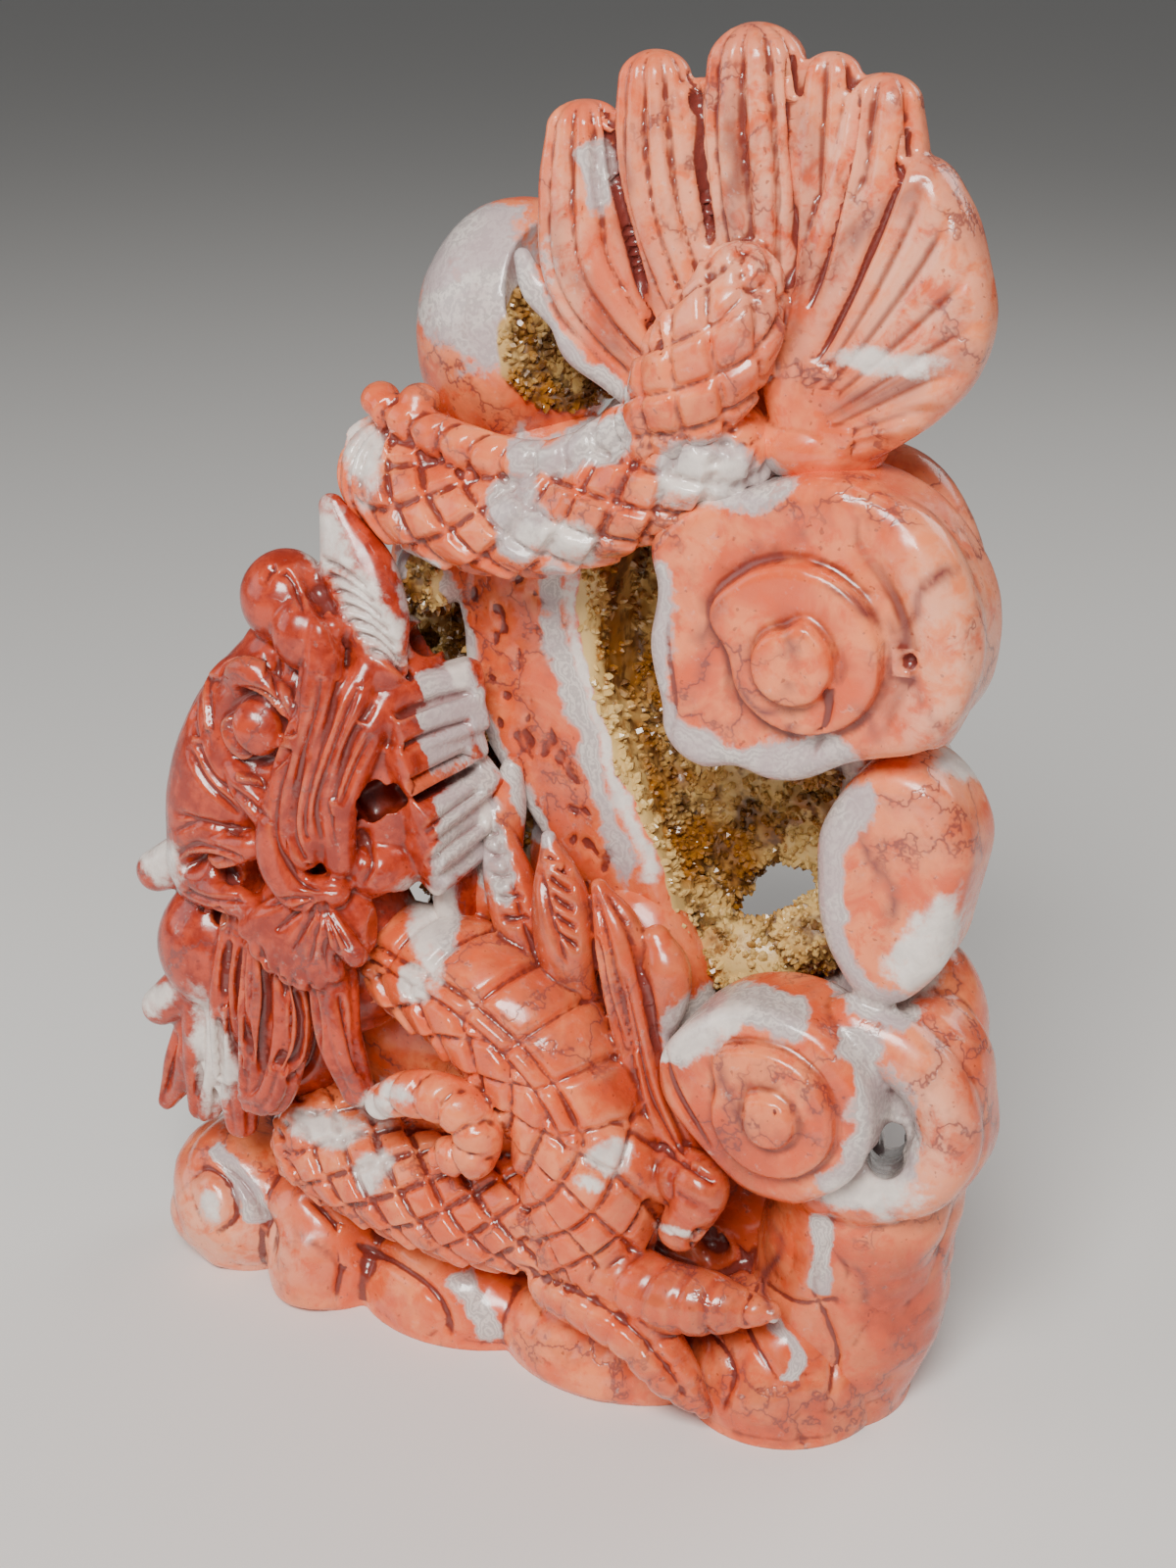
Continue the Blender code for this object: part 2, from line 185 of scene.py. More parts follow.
class Sheet:
    """Values drawn over the front of the carving, on the upright sheet at y = plane."""

    def __init__(self, plane, left, right, bottom, top):
        self.plane = plane
        self.left, self.bottom = left, bottom
        self.across = np.arange(left, right, SHEET_PIXEL)
        self.up = np.arange(bottom, top, SHEET_PIXEL)
        self.values = np.zeros((len(self.up), len(self.across)))

    def window(self, points, margin):
        """The part of the sheet within margin of points, and its pixels' places."""
        low = (points.min(axis=0) - margin - (self.left, self.bottom)) / SHEET_PIXEL
        high = (points.max(axis=0) + margin - (self.left, self.bottom)) / SHEET_PIXEL
        columns = slice(max(0, int(low[0])), max(0, int(high[0]) + 1))
        rows = slice(max(0, int(low[1])), max(0, int(high[1]) + 1))
        return rows, columns, *np.meshgrid(self.across[columns], self.up[rows])

    def lay(self, rows, columns, values):
        """Keeps the deeper of two cuts, and the higher of two raised lines."""
        old = self.values[rows, columns]
        self.values[rows, columns] = np.where(
            values < 0, np.minimum(old, values), np.maximum(old, values)
        )

    def line(self, points, width, value, fade=0.18):
        """A line through points, with a rounded section and ends that fade out."""
        path = smooth_path(points, 0.35)[:, :2]
        along = np.linspace(0.0, 1.0, len(path))
        strength = np.ones(len(path))
        if fade:
            strength = np.clip(np.minimum(along, 1 - along) / fade, 0.0, 1.0) ** 0.7
        for start in range(0, len(path), 24):
            part = path[start:start + 25]
            rows, columns, across, up = self.window(part, 2.6 * width)
            if not across.size:
                continue
            gap = (across[..., None] - part[:, 0])**2 + (up[..., None] - part[:, 1])**2
            nearest = gap.argmin(axis=2)
            gap = gap.min(axis=2)
            shape = np.exp(-gap / width**2) * strength[start:start + 25][nearest]
            self.lay(rows, columns, value * shape)

    def spot(self, centre, radii, value, soft=0.35, turn=0.0):
        """A round or oval patch with a soft edge."""
        reach = max(radii) * (1 + soft)
        rows, columns, across, up = self.window(np.array([centre], float), reach)
        angle = math.radians(turn)
        across, up = across - centre[0], up - centre[1]
        x = across * math.cos(angle) + up * math.sin(angle)
        z = up * math.cos(angle) - across * math.sin(angle)
        size = np.sqrt((x / radii[0])**2 + (z / radii[1])**2)
        self.lay(rows, columns, value * (1 - ease(1 - soft, 1 + soft, size)))

    def area(self, points, value, soft=0.8):
        """A patch inside a smooth outline, with a soft edge."""
        outline = smooth_path([*points, points[0]], 1.0)[:-1, :2]
        rows, columns, across, up = self.window(outline, 2 * soft)
        inside = np.zeros(across.shape, bool)
        gap = np.full(across.shape, 1e9)
        for (x, z), (next_x, next_z) in zip(outline, np.roll(outline, -1, axis=0)):
            crosses = (z > up) != (next_z > up)
            rise = next_z - z if abs(next_z - z) > 1e-9 else 1e-9
            inside ^= crosses & (across < x + (up - z) * (next_x - x) / rise)
            gap = np.minimum(gap, (across - x) ** 2 + (up - z) ** 2)
        gap = np.sqrt(gap) * np.where(inside, 1, -1)
        self.lay(rows, columns, value * ease(-soft, soft, gap))

    def at(self, points):
        """The sheet's values where points appear on it."""
        across, up = seen(points, self.plane)
        column = np.clip((across - self.left) / SHEET_PIXEL, 0, len(self.across) - 1.001)
        row = np.clip((up - self.bottom) / SHEET_PIXEL, 0, len(self.up) - 1.001)
        c, r = column.astype(int), row.astype(int)
        dc, dr = column - c, row - r
        v = self.values
        return (
            v[r, c] * (1 - dr) * (1 - dc) + v[r, c + 1] * (1 - dr) * dc
            + v[r + 1, c] * dr * (1 - dc) + v[r + 1, c + 1] * dr * dc
        )


class Rough:
    """Closed shells in millimetres, gathered in one mesh and fused later."""

    def __init__(self):
        self.shells = bmesh.new()

    def add(self, shell):
        bmesh.ops.remove_doubles(shell, verts=shell.verts, dist=MERGE_GAP)
        bmesh.ops.recalc_face_normals(shell, faces=shell.faces)
        gather(self.shells, shell)

    def ball(self, centre, radii, turn=0.0):
        """A rounded mass, leaning by turn degrees, clockwise from the front."""
        shell = bmesh.new()
        bmesh.ops.create_uvsphere(shell, u_segments=BALL_SEGMENTS, v_segments=BALL_RINGS, radius=1)
        place = (
            Matrix.Translation(centre)
            @ Matrix.Rotation(math.radians(turn), 4, "Y")
            @ Matrix.Diagonal((*radii, 1.0))
        )
        bmesh.ops.transform(shell, matrix=place, verts=shell.verts)
        self.add(shell)

    def balls(self, *masses):
        for mass in masses:
            self.ball(*mass)

    def rolls(self, *runs, **shape):
        for stations in runs:
            self.roll(stations, **shape)

    def roll(self, stations, depth=1.0, carve=None, around=28, step=0.6, square=2.0, blunt=1.0):
        """A smooth tapering roll through stations of (x, y, z, radius), with rounded ends.
        carve gives the relief from the length along it and the turn about it, where a turn of 0
        faces the front. square above 2 gives it flat sides, and blunt below 1 flat ends."""
        path = smooth_path(stations, step)
        centre, radius = path[:, :3], np.maximum(path[:, 3], 0.15)
        heading = np.gradient(centre, axis=0)
        heading /= np.linalg.norm(heading, axis=1)[:, None]
        bow = np.linspace(0.0, math.pi / 2, CAP_RINGS, endpoint=False)[:, None]
        centre = np.vstack([
            centre[0] - heading[0] * radius[0] * blunt * np.cos(bow), centre,
            (centre[-1] + heading[-1] * radius[-1] * blunt * np.cos(bow))[::-1],
        ])
        swell = np.sin(bow[:, 0])
        radius = np.concatenate([radius[0] * swell, radius, (radius[-1] * swell)[::-1]])
        heading = np.vstack([
            np.repeat(heading[:1], CAP_RINGS, axis=0), heading,
            np.repeat(heading[-1:], CAP_RINGS, axis=0),
        ])
        to_front = np.array([0.0, -1.0, 0.0])
        facing = np.zeros_like(heading)
        last = to_front
        for ring, way in enumerate(heading):
            pull = to_front - way * (to_front @ way)
            last = last - way * (last @ way) + 0.3 * pull
            last /= np.linalg.norm(last)
            facing[ring] = last
        side = np.cross(facing, heading)
        length = np.concatenate([[0], np.cumsum(np.linalg.norm(np.diff(centre, axis=0), axis=1))])
        turn = np.linspace(-math.pi, math.pi, around + 1)
        sides = (np.abs(np.cos(turn)) ** square + np.abs(np.sin(turn)) ** square) ** (-1 / square)
        spread = radius[:, None] * sides[None, :]
        if carve:
            relief = carve(length[:, None], turn[None, :], radius[:, None])
            spread = np.maximum(spread + relief * ease(0.1, 1.6, radius)[:, None], 0.0)
            spread[[0, -1]] = 0.0
        spots = (
            centre[:, None] + spread[..., None]
            * (np.cos(turn)[None, :, None] * facing[:, None]
               + np.sin(turn)[None, :, None] * side[:, None])
        )
        spots[..., 1] = centre[:, None, 1] + (spots[..., 1] - centre[:, None, 1]) * depth
        shell = bmesh.new()
        bmesh.ops.create_grid(shell, x_segments=around, y_segments=len(centre) - 1, size=1.0)
        for vert, spot in zip(shell.verts, spots.reshape(-1, 3)):
            vert.co = spot
        self.add(shell)

    def plate(self, outline, front, back, rounding=PLATE_ROUNDING):
        """A slab with a smooth outline of (x, z) points, between two depths, its edges rounded."""
        data = bpy.data.curves.new("plate", "CURVE")
        data.dimensions = "2D"
        data.fill_mode = "BOTH"
        data.resolution_u = 12
        data.extrude = (back - front) / 2 - rounding
        data.bevel_depth = rounding
        data.bevel_resolution = 5
        data.offset = -rounding
        spline = data.splines.new("BEZIER")
        spline.bezier_points.add(len(outline) - 1)
        spline.use_cyclic_u = True
        for point, (x, z) in zip(spline.bezier_points, outline):
            point.co = (x, z, 0.0)
            point.handle_left_type = point.handle_right_type = "AUTO"
        holder = in_scene("plate", data)
        mesh = finished(holder)
        bpy.data.objects.remove(holder, do_unlink=True)
        bpy.data.curves.remove(data)
        mesh.transform(
            Matrix.Translation((0.0, (front + back) / 2, 0.0))
            @ Matrix.Rotation(math.radians(90.0), 4, "X")
        )
        shell = bmesh.new()
        shell.from_mesh(mesh)
        bpy.data.meshes.remove(mesh)
        self.add(shell)


def scales(pitch, about, height, groove):
    """Overlapping lozenge scales: pitch along the roll, about of them around it."""
    def carve(length, turn, radius):
        wrap = turn * about / (2 * math.pi)
        first, second = length / pitch + wrap, length / pitch - wrap
        first, second = first - np.floor(first), second - np.floor(second)
        tilt = (first + second) / 2
        cut = np.minimum(np.minimum(first, 1 - first), np.minimum(second, 1 - second))
        return height * (tilt - 0.5) - groove * (1 - ease(0.0, 0.17, cut))
    return carve


def flutes(count, depth):
    """Broad ribs along a roll, with narrow valleys between them, on its front half."""
    def carve(length, turn, radius):
        valley = np.minimum(depth, 0.4 * radius) * np.cos(count * turn) ** 8
        return -valley * ease(-0.3, 0.2, np.cos(turn)) + 0 * length
    return carve


def folds(pitch, depth):
    """Narrow curved cuts across a roll, one after another, on its front half."""
    def carve(length, turn, radius):
        part = length / pitch + 0.3 * np.cos(turn)
        part = np.abs(part - np.round(part))
        return -depth * (1 - ease(0.0, 0.22, part)) * ease(-0.3, 0.2, np.cos(turn))
    return carve


def body_plates(length, turn, radius):
    """The body's relief: scales on the flank, and long plates with cross cuts on the ridge."""
    flank = scales(7.6, 8, 1.5, 1.3)(length, turn, radius)
    cut = np.abs((length / 6.0 - 0.25 * turn) % 1.0 - 0.5) * 6.0
    ridge = -1.2 * np.exp(-(cut / 0.5) ** 2)
    for line in (0.2, 0.5):
        ridge = np.minimum(ridge, -1.4 * np.exp(-((turn - line) * radius / 0.6) ** 2))
    upper = ease(0.12, 0.22, turn) * ease(2.4, 2.0, turn) * (1 - ease(38.0, 44.0, length))
    return flank * (1 - upper) + ridge * upper


def swirl(rough, centre, face, first, last, turn, rise, side=-1):
    """A raised snail step on a cloud's face: its radius grows from first to last in one turn,
    which starts at turn degrees, anticlockwise from the right. side is 1 on the back."""
    x, z = centre
    outline = []
    for step in range(SWIRL_POINTS):
        angle = math.radians(turn + 360.0 * step / SWIRL_POINTS)
        radius = first + (last - first) * step / SWIRL_POINTS
        outline.append((x + radius * math.cos(angle), z + radius * math.sin(angle)))
    edge, root = face + side * rise, face - side * SWIRL_ROOT
    rough.plate(outline, min(edge, root), max(edge, root), rounding=SWIRL_ROUNDING)


def base_rock(rough):
    rough.roll([(-44, -3, 5, 11), (0, -3, 4, 12), (38, -3, 4, 12)], around=48)
    rough.balls(
        ((-49, -9, 9), (12.2, 12, 12.5)), ((-33.5, -11, 6), (10, 11, 13), -14),
        ((-13, -6, 3), (18, 15, 11)), ((12, -7, 3), (19, 15.5, 11)), ((36, -8, 4), (14, 14, 15)),
        ((-36, 2, 12), (17, 12, 15)), ((-8, 4, 18), (28, 11, 22)), ((22, 4, 24), (24, 12, 28)),
    )


def right_clouds(rough):
    rough.roll([(38, -3, -2, 13), (42.5, -3, 16, 13), (45.5, -3, 36, 13)], around=48)
    rough.plate(
        [(22.5, 52), (27, 60), (37, 64), (46, 61), (51, 51), (47, 41), (38, 37.5), (28, 43)],
        -22, -8,
    )
    swirl(rough, (38.2, 50.5), -22, 7.0, 10.2, 160, 2.4)
    swirl(rough, (39, 51), -24.4, 3.0, 3.9, 160, 1.8)
    loop = [(46, 60.5), (52, 58.5), (57, 54), (58.5, 47), (55.5, 41), (49, 38), (43.5, 37.5)]
    rough.roll([(x, -13.5, z, 4.3) for x, z in loop], around=48)
    rough.plate(
        [(43, 38), (50, 34.5), (57, 36), (62, 42), (62.5, 51), (59.5, 60), (52, 63), (45, 57)],
        -13, -3, 3.0,
    )
    rough.ball((50, 0, 54), (9, 9, 14))
    rough.plate(
        [(41, 88), (40, 79), (42.5, 69), (48.5, 64), (55, 68.5), (58, 78), (58.5, 89), (50, 96)],
        -16, -2, 3.4,
    )
    rough.ball((45, 3, 77), (8.5, 9, 20))
    rough.plate(
        [(20, 121), (20.4, 114), (19.6, 107), (21, 101), (22, 96), (26, 93), (31, 93.6),
         (36, 92.6), (45, 96.5), (55.5, 101), (59, 111), (55, 123), (45, 129.5), (32, 128)],
        -19.5, -5, 2.4,
    )
    rough.ball((47.5, -10, 113), (11, 10.2, 14))
    rough.roll([(53, -15, 103, 4), (55, -15.4, 112, 4.6), (51, -15.6, 122, 4.6), (43, -15, 127, 3)])
    swirl(rough, (39.3, 109.6), -19.6, 8.4, 11.8, 185, 2.4)
    swirl(rough, (39.1, 109.3), -22, 4.2, 5.6, 100, 2.2)
    rough.ball((41, 2, 108), (14, 9, 22))
    rough.ball((46, 2, 48), (12, 9, 18))


def column(rough):
    rough.plate(
        [(-12, 118), (-12.5, 100), (-11, 90), (-6, 81), (1, 71), (9, 58), (18, 48), (20, 58),
         (16, 73), (12, 84), (8, 93), (7, 104), (7, 118)],
        -7, 8,
    )
    rough.balls(((-5, 6, 100), (9, 7, 26)), ((4, 5, 66), (14, 9, 20)),
                ((-15.5, -7, 109.5), (4.5, 7, 5)))


def geode_wall(rough):
    rough.plate(
        [(2, 118), (3, 96), (9, 80), (15, 64), (18, 44), (44, 46), (44, 70), (45, 96),
         (42, 118), (22, 122)],
        5, 12,
    )
    rough.plate(
        [(-30, 104), (-31, 88), (-27, 70), (-22, 52), (-4, 46), (12, 56), (6, 90), (2, 118),
         (-14, 122), (-25, 116)],
        3, 10,
    )
    rough.balls(
        ((14, 6, 56), (14, 9, 12)), ((30, 8, 50), (14, 8, 10)), ((20, 9, 106), (17, 6, 18)),
        ((34, 1, 90), (6, 6, 4)), ((26, 1, 60), (9, 6, 6)), ((36, 0, 66), (6, 6, 5)),
        ((-20, 5, 80), (9, 6, 26)), ((-22, 0, 40), (15, 10, 16)),
    )


def back_clouds(rough):
    rough.plate(
        [(6, 88), (10, 104), (24, 114), (38, 108), (41, 93), (34, 82), (24, 80), (13, 81)],
        9, 14.5,
    )
    swirl(rough, (24, 97), 14.5, 8.5, 11.5, 30, 2.0, side=1)
    rough.plate(
        [(-26, 62), (-25, 76), (-15, 84), (-3, 78), (0, 66), (-6, 56), (-16, 53)], 7, 13,
    )
    swirl(rough, (-13, 68), 13, 6.5, 9.0, 150, 2.0, side=1)
    swirl(rough, (18, 24), 15.5, 8.0, 11.0, 80, 2.0, side=1)


def head(rough):
    rough.ball((-27, -17, 86), (15, 10, 17), turn=-14)
    rough.roll([(-32, -18, 98, 6), (-37, -18, 88, 9), (-40.5, -19, 78, 9), (-42.5, -20, 69, 7.5)])
    rough.ball((-45, -19, 55), (8, 8, 9.5))
    rough.ball((-30, -15, 58), (15, 9, 15))
    rough.ball((-37, -14, 46), (10, 8, 16))
    rough.roll([(-49, -20, 67, 3.8), (-53, -20.5, 65, 3.0)])
    rough.roll([(-49, -20, 48, 3.8), (-54, -20.5, 44, 2.8)])
    rough.ball((-30, -20, 107), (6.0, 6, 6.2))
    rough.ball((-25.5, -23, 104), (4.2, 4.5, 5))
    rough.ball((-21, -14, 97), (9, 9, 8))
    rough.roll(
        [(-16.5, -20, 100, 3.6), (-18.5, -19, 106, 5.4), (-21, -18, 112, 5.0), (-24, -18, 119, 2)],
        depth=0.7,
    )
    rough.ball((-32.2, -24, 90.8), (7.2, 3.4, 7.4))
    rough.ball((-32.2, -25.8, 90.8), (4.3, 3.2, 4.4))
    rough.rolls(
        [(-38, -22, 93, 1.6), (-33, -25.5, 98, 1.8), (-26, -26, 95, 1.6)],
        [(-38, -23, 88, 1.8), (-33, -27, 83, 2.0), (-27, -27, 77, 1.6)],
        [(-47, -22, 71, 2.0), (-40, -26, 72.5, 2.4), (-33, -27, 75, 2.0)],
        [(-46, -23, 65, 1.8), (-40, -26, 66.5, 2.2), (-33, -27, 66, 1.8)],
    )


def mane(rough):
    rough.rolls(
        [(-22, -24, 105, 2.6), (-22.5, -26, 95, 2.8), (-26, -27, 85, 2.8),
         (-28, -28, 76, 2.8), (-25, -28, 70.5, 2.6), (-20.5, -27, 71, 2.2)],
        [(-17.5, -21, 101, 1.6), (-19.5, -25, 93, 2.8), (-23, -27, 84, 2.8), (-24, -28, 76, 2.2)],
        [(-15, -20, 97, 1.6), (-17, -24, 91, 2.4), (-19.6, -26, 83, 2.6), (-20, -26, 75, 2.2)],
    )
    straps = (
        ((-15.6, -20, 95.4, 2.6), (-8.6, -10, 96.4, 2.6)),
        ((-14.4, -21.6, 91.2, 3.2), (-8.4, -10.5, 92.6, 2.8)),
        ((-13.6, -22.6, 86.8, 3.4), (-9.0, -10.5, 88.4, 2.8)),
        ((-11.4, -21.6, 80.0, 3.2), (-8.2, -9, 83.0, 3.0)),
        ((-10.8, -21.0, 75.6, 3.2), (-8.0, -9, 78.4, 3.2)),
        ((-10.4, -19.5, 71.8, 2.4), (-8.0, -9, 74.4, 2.6)),
    )
    for front, back in straps:
        rough.roll([front, back], around=48, square=5.0, blunt=0.2, step=0.4)
    rough.balls(((-17, -16, 84), (6, 8, 16)), ((-17, -20, 73), (5, 6, 4.5)),
                ((-11, -10, 66), (3.2, 6, 8)))


def cheek_fin(rough):
    rough.ball((-25, -24, 65), (9, 4.5, 7))
    for x, z in ((-33, 63.5), (-31.5, 61), (-29.5, 59.5), (-27, 58.4), (-25, 58), (-22.5, 58.6),
                 (-20.5, 60), (-17, 63)):
        rough.roll(
            [(-24.5, -26, 70, 1.4), ((x - 24.5) / 2, -28, (z + 70) / 2, 2.0), (x, -28, z, 1.7)],
            around=16,
        )


def beard(rough):
    rib = flutes(3, 1.0)
    for *stations, carve in (
        ((-38, -23, 62, 2.8), (-39, -25, 51, 3.0), (-40.5, -24, 39, 2.6), rib),
        ((-33.5, -25, 59, 2.6), (-34, -26, 49, 3.0), (-36, -25, 38, 2.4), rib),
        ((-29, -25, 56, 2.6), (-29, -26, 47, 2.8), (-32, -26, 38, 2.8), (-36, -25, 36, 2.4), rib),
        ((-22.5, -25, 58, 3.2), (-21, -26.5, 50, 3.0), (-18.5, -26.5, 42, 2.2), flutes(2, 0.8)),
        ((-46, -20, 47, 4), (-46.5, -20, 38, 4), (-48, -20, 29.5, 2.6), rib),
        ((-49, -19, 42, 3), (-52, -19, 34, 3), (-55.5, -19, 27.5, 1.4), flutes(2, 0.8)),
        ((-42, -20, 38, 4), (-42, -20, 28, 2.4), rib),
    ):
        rough.roll(stations, carve=carve, around=64)


def body(rough):
    rough.roll(
        [(-16, -15, 57, 8), (-4, -17, 54.5, 9.5), (6.5, -17, 46.5, 10), (11.5, -17, 36, 10.3),
         (12, -17, 27, 9.6), (10.5, -18, 19, 7.4)],
        carve=body_plates, around=160, step=0.35,
    )
    rough.roll(
        [(-30, -15.5, 26, 8.6), (-18, -17, 24, 8.6), (-6, -17, 22.5, 8.3), (6, -16, 23, 8)],
        carve=scales(7.0, 8, 1.5, 1.3), around=150, step=0.35,
    )
    rough.ball((0, -8, 34), (16, 8, 12))


def legs(rough):
    rough.roll(
        [(-15, -26, 41, 2.4), (-10, -27, 44, 3.1), (-4, -27, 44.3, 3.3), (-0.5, -26.5, 40.8, 3.3),
         (-1.5, -26, 36.3, 3.1), (-5.5, -25.5, 35, 2.6)],
        carve=folds(3.8, 1.1), around=60,
    )
    toe = folds(3.7, 0.4)
    rough.roll([(12, -19, 20, 5.5), (24, -22, 20, 4.8), (31, -21.5, 20.2, 4.2),
                (38.6, -20.5, 20.6, 1.6)], carve=toe, around=80, step=0.4)
    rough.roll([(9, -19, 17, 6), (20, -22.5, 15, 4.8), (26, -23, 9.5, 3.8), (30.5, -22.6, 4.6, 1.4)],
               carve=toe, around=80, step=0.4)
    rough.roll([(20, -16, 34, 4), (28, -19, 36, 3.8), (25.5, -20, 29, 2.8)], carve=folds(3, 0.5))
    rough.roll([(3.4, -13, 77.5, 1.0), (5.4, -14, 71, 3.4), (6.6, -14.5, 64, 4.0), (7.5, -13, 57, 3)],
               around=64)
    rough.roll([(-5.6, -11, 78.5, 1.4), (-2.8, -12.5, 70.5, 3.2), (-0.5, -13, 64, 3.6),
                (2, -13, 58, 3)], around=64)
    rough.roll([(-4.4, -8, 84, 1.4), (-4.8, -9, 78.5, 2.6), (-5, -10, 72, 2.6)])
    rough.roll([(10.5, -13, 72, 1.2), (13.6, -13.5, 66, 3.4), (16.5, -14, 55, 3.8),
                (19, -14, 44, 4), (23, -14, 36, 4)], carve=flutes(3, 1.0), around=64)
    rough.roll([(18.5, -12.5, 66, 2.0), (20, -13, 62.5, 3.2), (19.6, -13, 57, 3.0),
                (17.4, -13, 52, 2.4)])
    rough.ball((-8, -7, 66), (4, 5, 6))
    rough.ball((12, -5, 48), (12, 8, 22))


def top_coil(rough):
    rough.roll(
        [(-13, 2, 123, 6), (-18.5, -5, 123, 6.5), (-19, -12, 122.5, 6.8), (-9, -15, 119.6, 6.8),
         (0, -15.5, 119.2, 6.5), (8, -15.5, 121, 6.5), (17, -15, 125.5, 6.6), (26, -14, 131, 7)],
        carve=scales(7.4, 6, 1.5, 1.3), around=150, step=0.35,
    )
    rough.roll(
        [(-18, -14, 131, 2.4), (-9, -15.5, 128.8, 2.8), (-2, -16, 127.4, 2.8), (4, -16, 127.4, 2.5),
         (9, -16, 129, 2.5), (15, -15.5, 132.5, 2.8)],
        carve=folds(4.4, 1.0), around=60,
    )
    rough.balls(
        ((-19.5, -13, 132), (2.6, 2.8, 2.4)), ((-14, -13, 132.3), (2.6, 2.8, 2.4)),
        ((-4, 1, 122), (14, 9, 8)), ((16, -2, 127), (12, 8, 8)),
    )


def nodule(rough):
    rough.ball((-8.5, 3, 138.5), (13.4, 12, 16.8), turn=6)


PETALS = (
    ((7.2, 165.4, 4.6), (7.6, 158, 6.0), (9, 150, 6.6), (14, 143, 5.6), (20, 137.5, 3.6), 2),
    ((15.9, 171.4, 4.2), (16.6, 163, 5.4), (18, 156, 5.4), (21, 148, 4.8), (24, 141, 3.0), 2),
    ((21.4, 169.6, 2.8), (22.8, 162, 3.4), (24.6, 155, 3.8), (26.4, 148, 3.4), 1),
    ((28, 173.4, 5.6), (28.6, 166, 6.6), (29.4, 159, 6.4), (30, 150, 5.0), 2),
    ((36.9, 172.6, 3.4), (37, 165, 4.2), (36.6, 155, 4.8), (33.6, 144, 4.0), 1),
    ((42.8, 169.8, 4.4), (42.4, 162, 6.0), (40.4, 153, 6.4), (36, 142, 5.0), 1),
)


def tail_fan(rough):
    """Ribbed petals that widen from the scaled root, and the broad shell at their right."""
    for *stations, ribs in PETALS:
        rough.roll([(x, -10, z, radius) for x, z, radius in stations], depth=0.85,
                   carve=flutes(2 * ribs + 1, 1.6), around=110, step=0.4, square=2.3, blunt=0.75)
    rough.plate(
        [(38, 158), (43.6, 163.5), (48.6, 164.6), (53, 160.4), (55.8, 153.4), (56.8, 147.6),
         (55.4, 141.4), (52, 136.8), (48, 133.6), (43, 131), (36, 130), (31, 136), (33, 148)],
        -15.2, -6.5, 3.4,
    )
    rough.plate(
        [(5, 158), (8, 164), (17, 168), (28, 171.5), (38, 169), (44, 162), (48, 150),
         (48, 140), (44, 133), (30, 129), (16, 137), (6, 147)],
        -12.5, -6.5, 2.6,
    )
    rough.roll([(20.5, -16.5, 133.5, 6), (25, -18, 140, 7.2), (28.4, -18, 146.5, 6.8),
                (29.4, -17, 150, 5.4)],
               depth=0.85, carve=scales(7.0, 6, 1.0, 1.4), around=110, step=0.35)
    rough.ball((36, -9, 132), (9, 7, 5))
    rough.roll([(-0.6, -11, 150.5, 1.2), (1.5, -11.6, 147, 1.9), (4.6, -11.2, 143.6, 1.7),
                (7.4, -12, 140.6, 2.3), (11.6, -11.6, 137.6, 2.0), (17, -12, 135, 2.4)], depth=0.8)


def wall_hollows(cutters):
    """The nodule's pocket, the hole through the geode's wall, and two dark pits."""
    cutters.ball((3, -4, 143), (8.0, 10, 13.5), turn=-14)
    cutters.rolls(
        [(33.4, -10, 76.6, 4.2), (27.4, 8, 66.6, 4.2), (23.4, 24, 59.6, 5.5)],
        [(30, -10, 73.6, 3.2), (24, 8, 63.6, 3.2), (20, 24, 56.6, 4.5)],
        [(36.6, -10, 78, 2.6), (31, 8, 68, 2.6), (27, 24, 61, 4)],
        [(54, -22, 49, 2.6), (48.5, -5, 41, 2.6), (42, 16, 33, 2.8)],
        [(-7.3, -24, 106.3, 2.4), (-17, -7.5, 99.5, 2.4), (-23.6, 4, 95, 2.6)],
        [(-15.5, -24, 84, 2.2), (-26, -6, 75, 2.2), (-32, 4, 70.6, 2.4)],
    )


def scroll_hollows(cutters):
    """The slot in the lowest scroll."""
    cutters.rolls(
        [(54.6, -22, 50.4, 2.0), (49, -5, 42.4, 2.0), (42.6, 16, 34, 2.4)],
        [(53.4, -22, 47, 2.4), (48, -5, 39, 2.4), (41.6, 16, 31, 2.8)],
    )


def mane_hollows(cutters):
    """The dark gaps between the mane and the ear."""
    cutters.roll([(-7.3, -24, 106.3, 2.2), (-17, -7.5, 99.5, 2.4)])
    cutters.rolls(
        [(-12.6, -25, 84.4, 1.5), (-17, -16, 80.8, 1.8)],
        [(-15.4, -25, 83.6, 2.2), (-19.4, -17, 80.4, 2.4)],
        [(-18.4, -25, 82.0, 1.4), (-20.4, -20, 80.4, 1.4)], square=6.0, blunt=0.3,
    )
    cutters.ball((-15, -22, 65.5), (2.2, 6, 5.4))


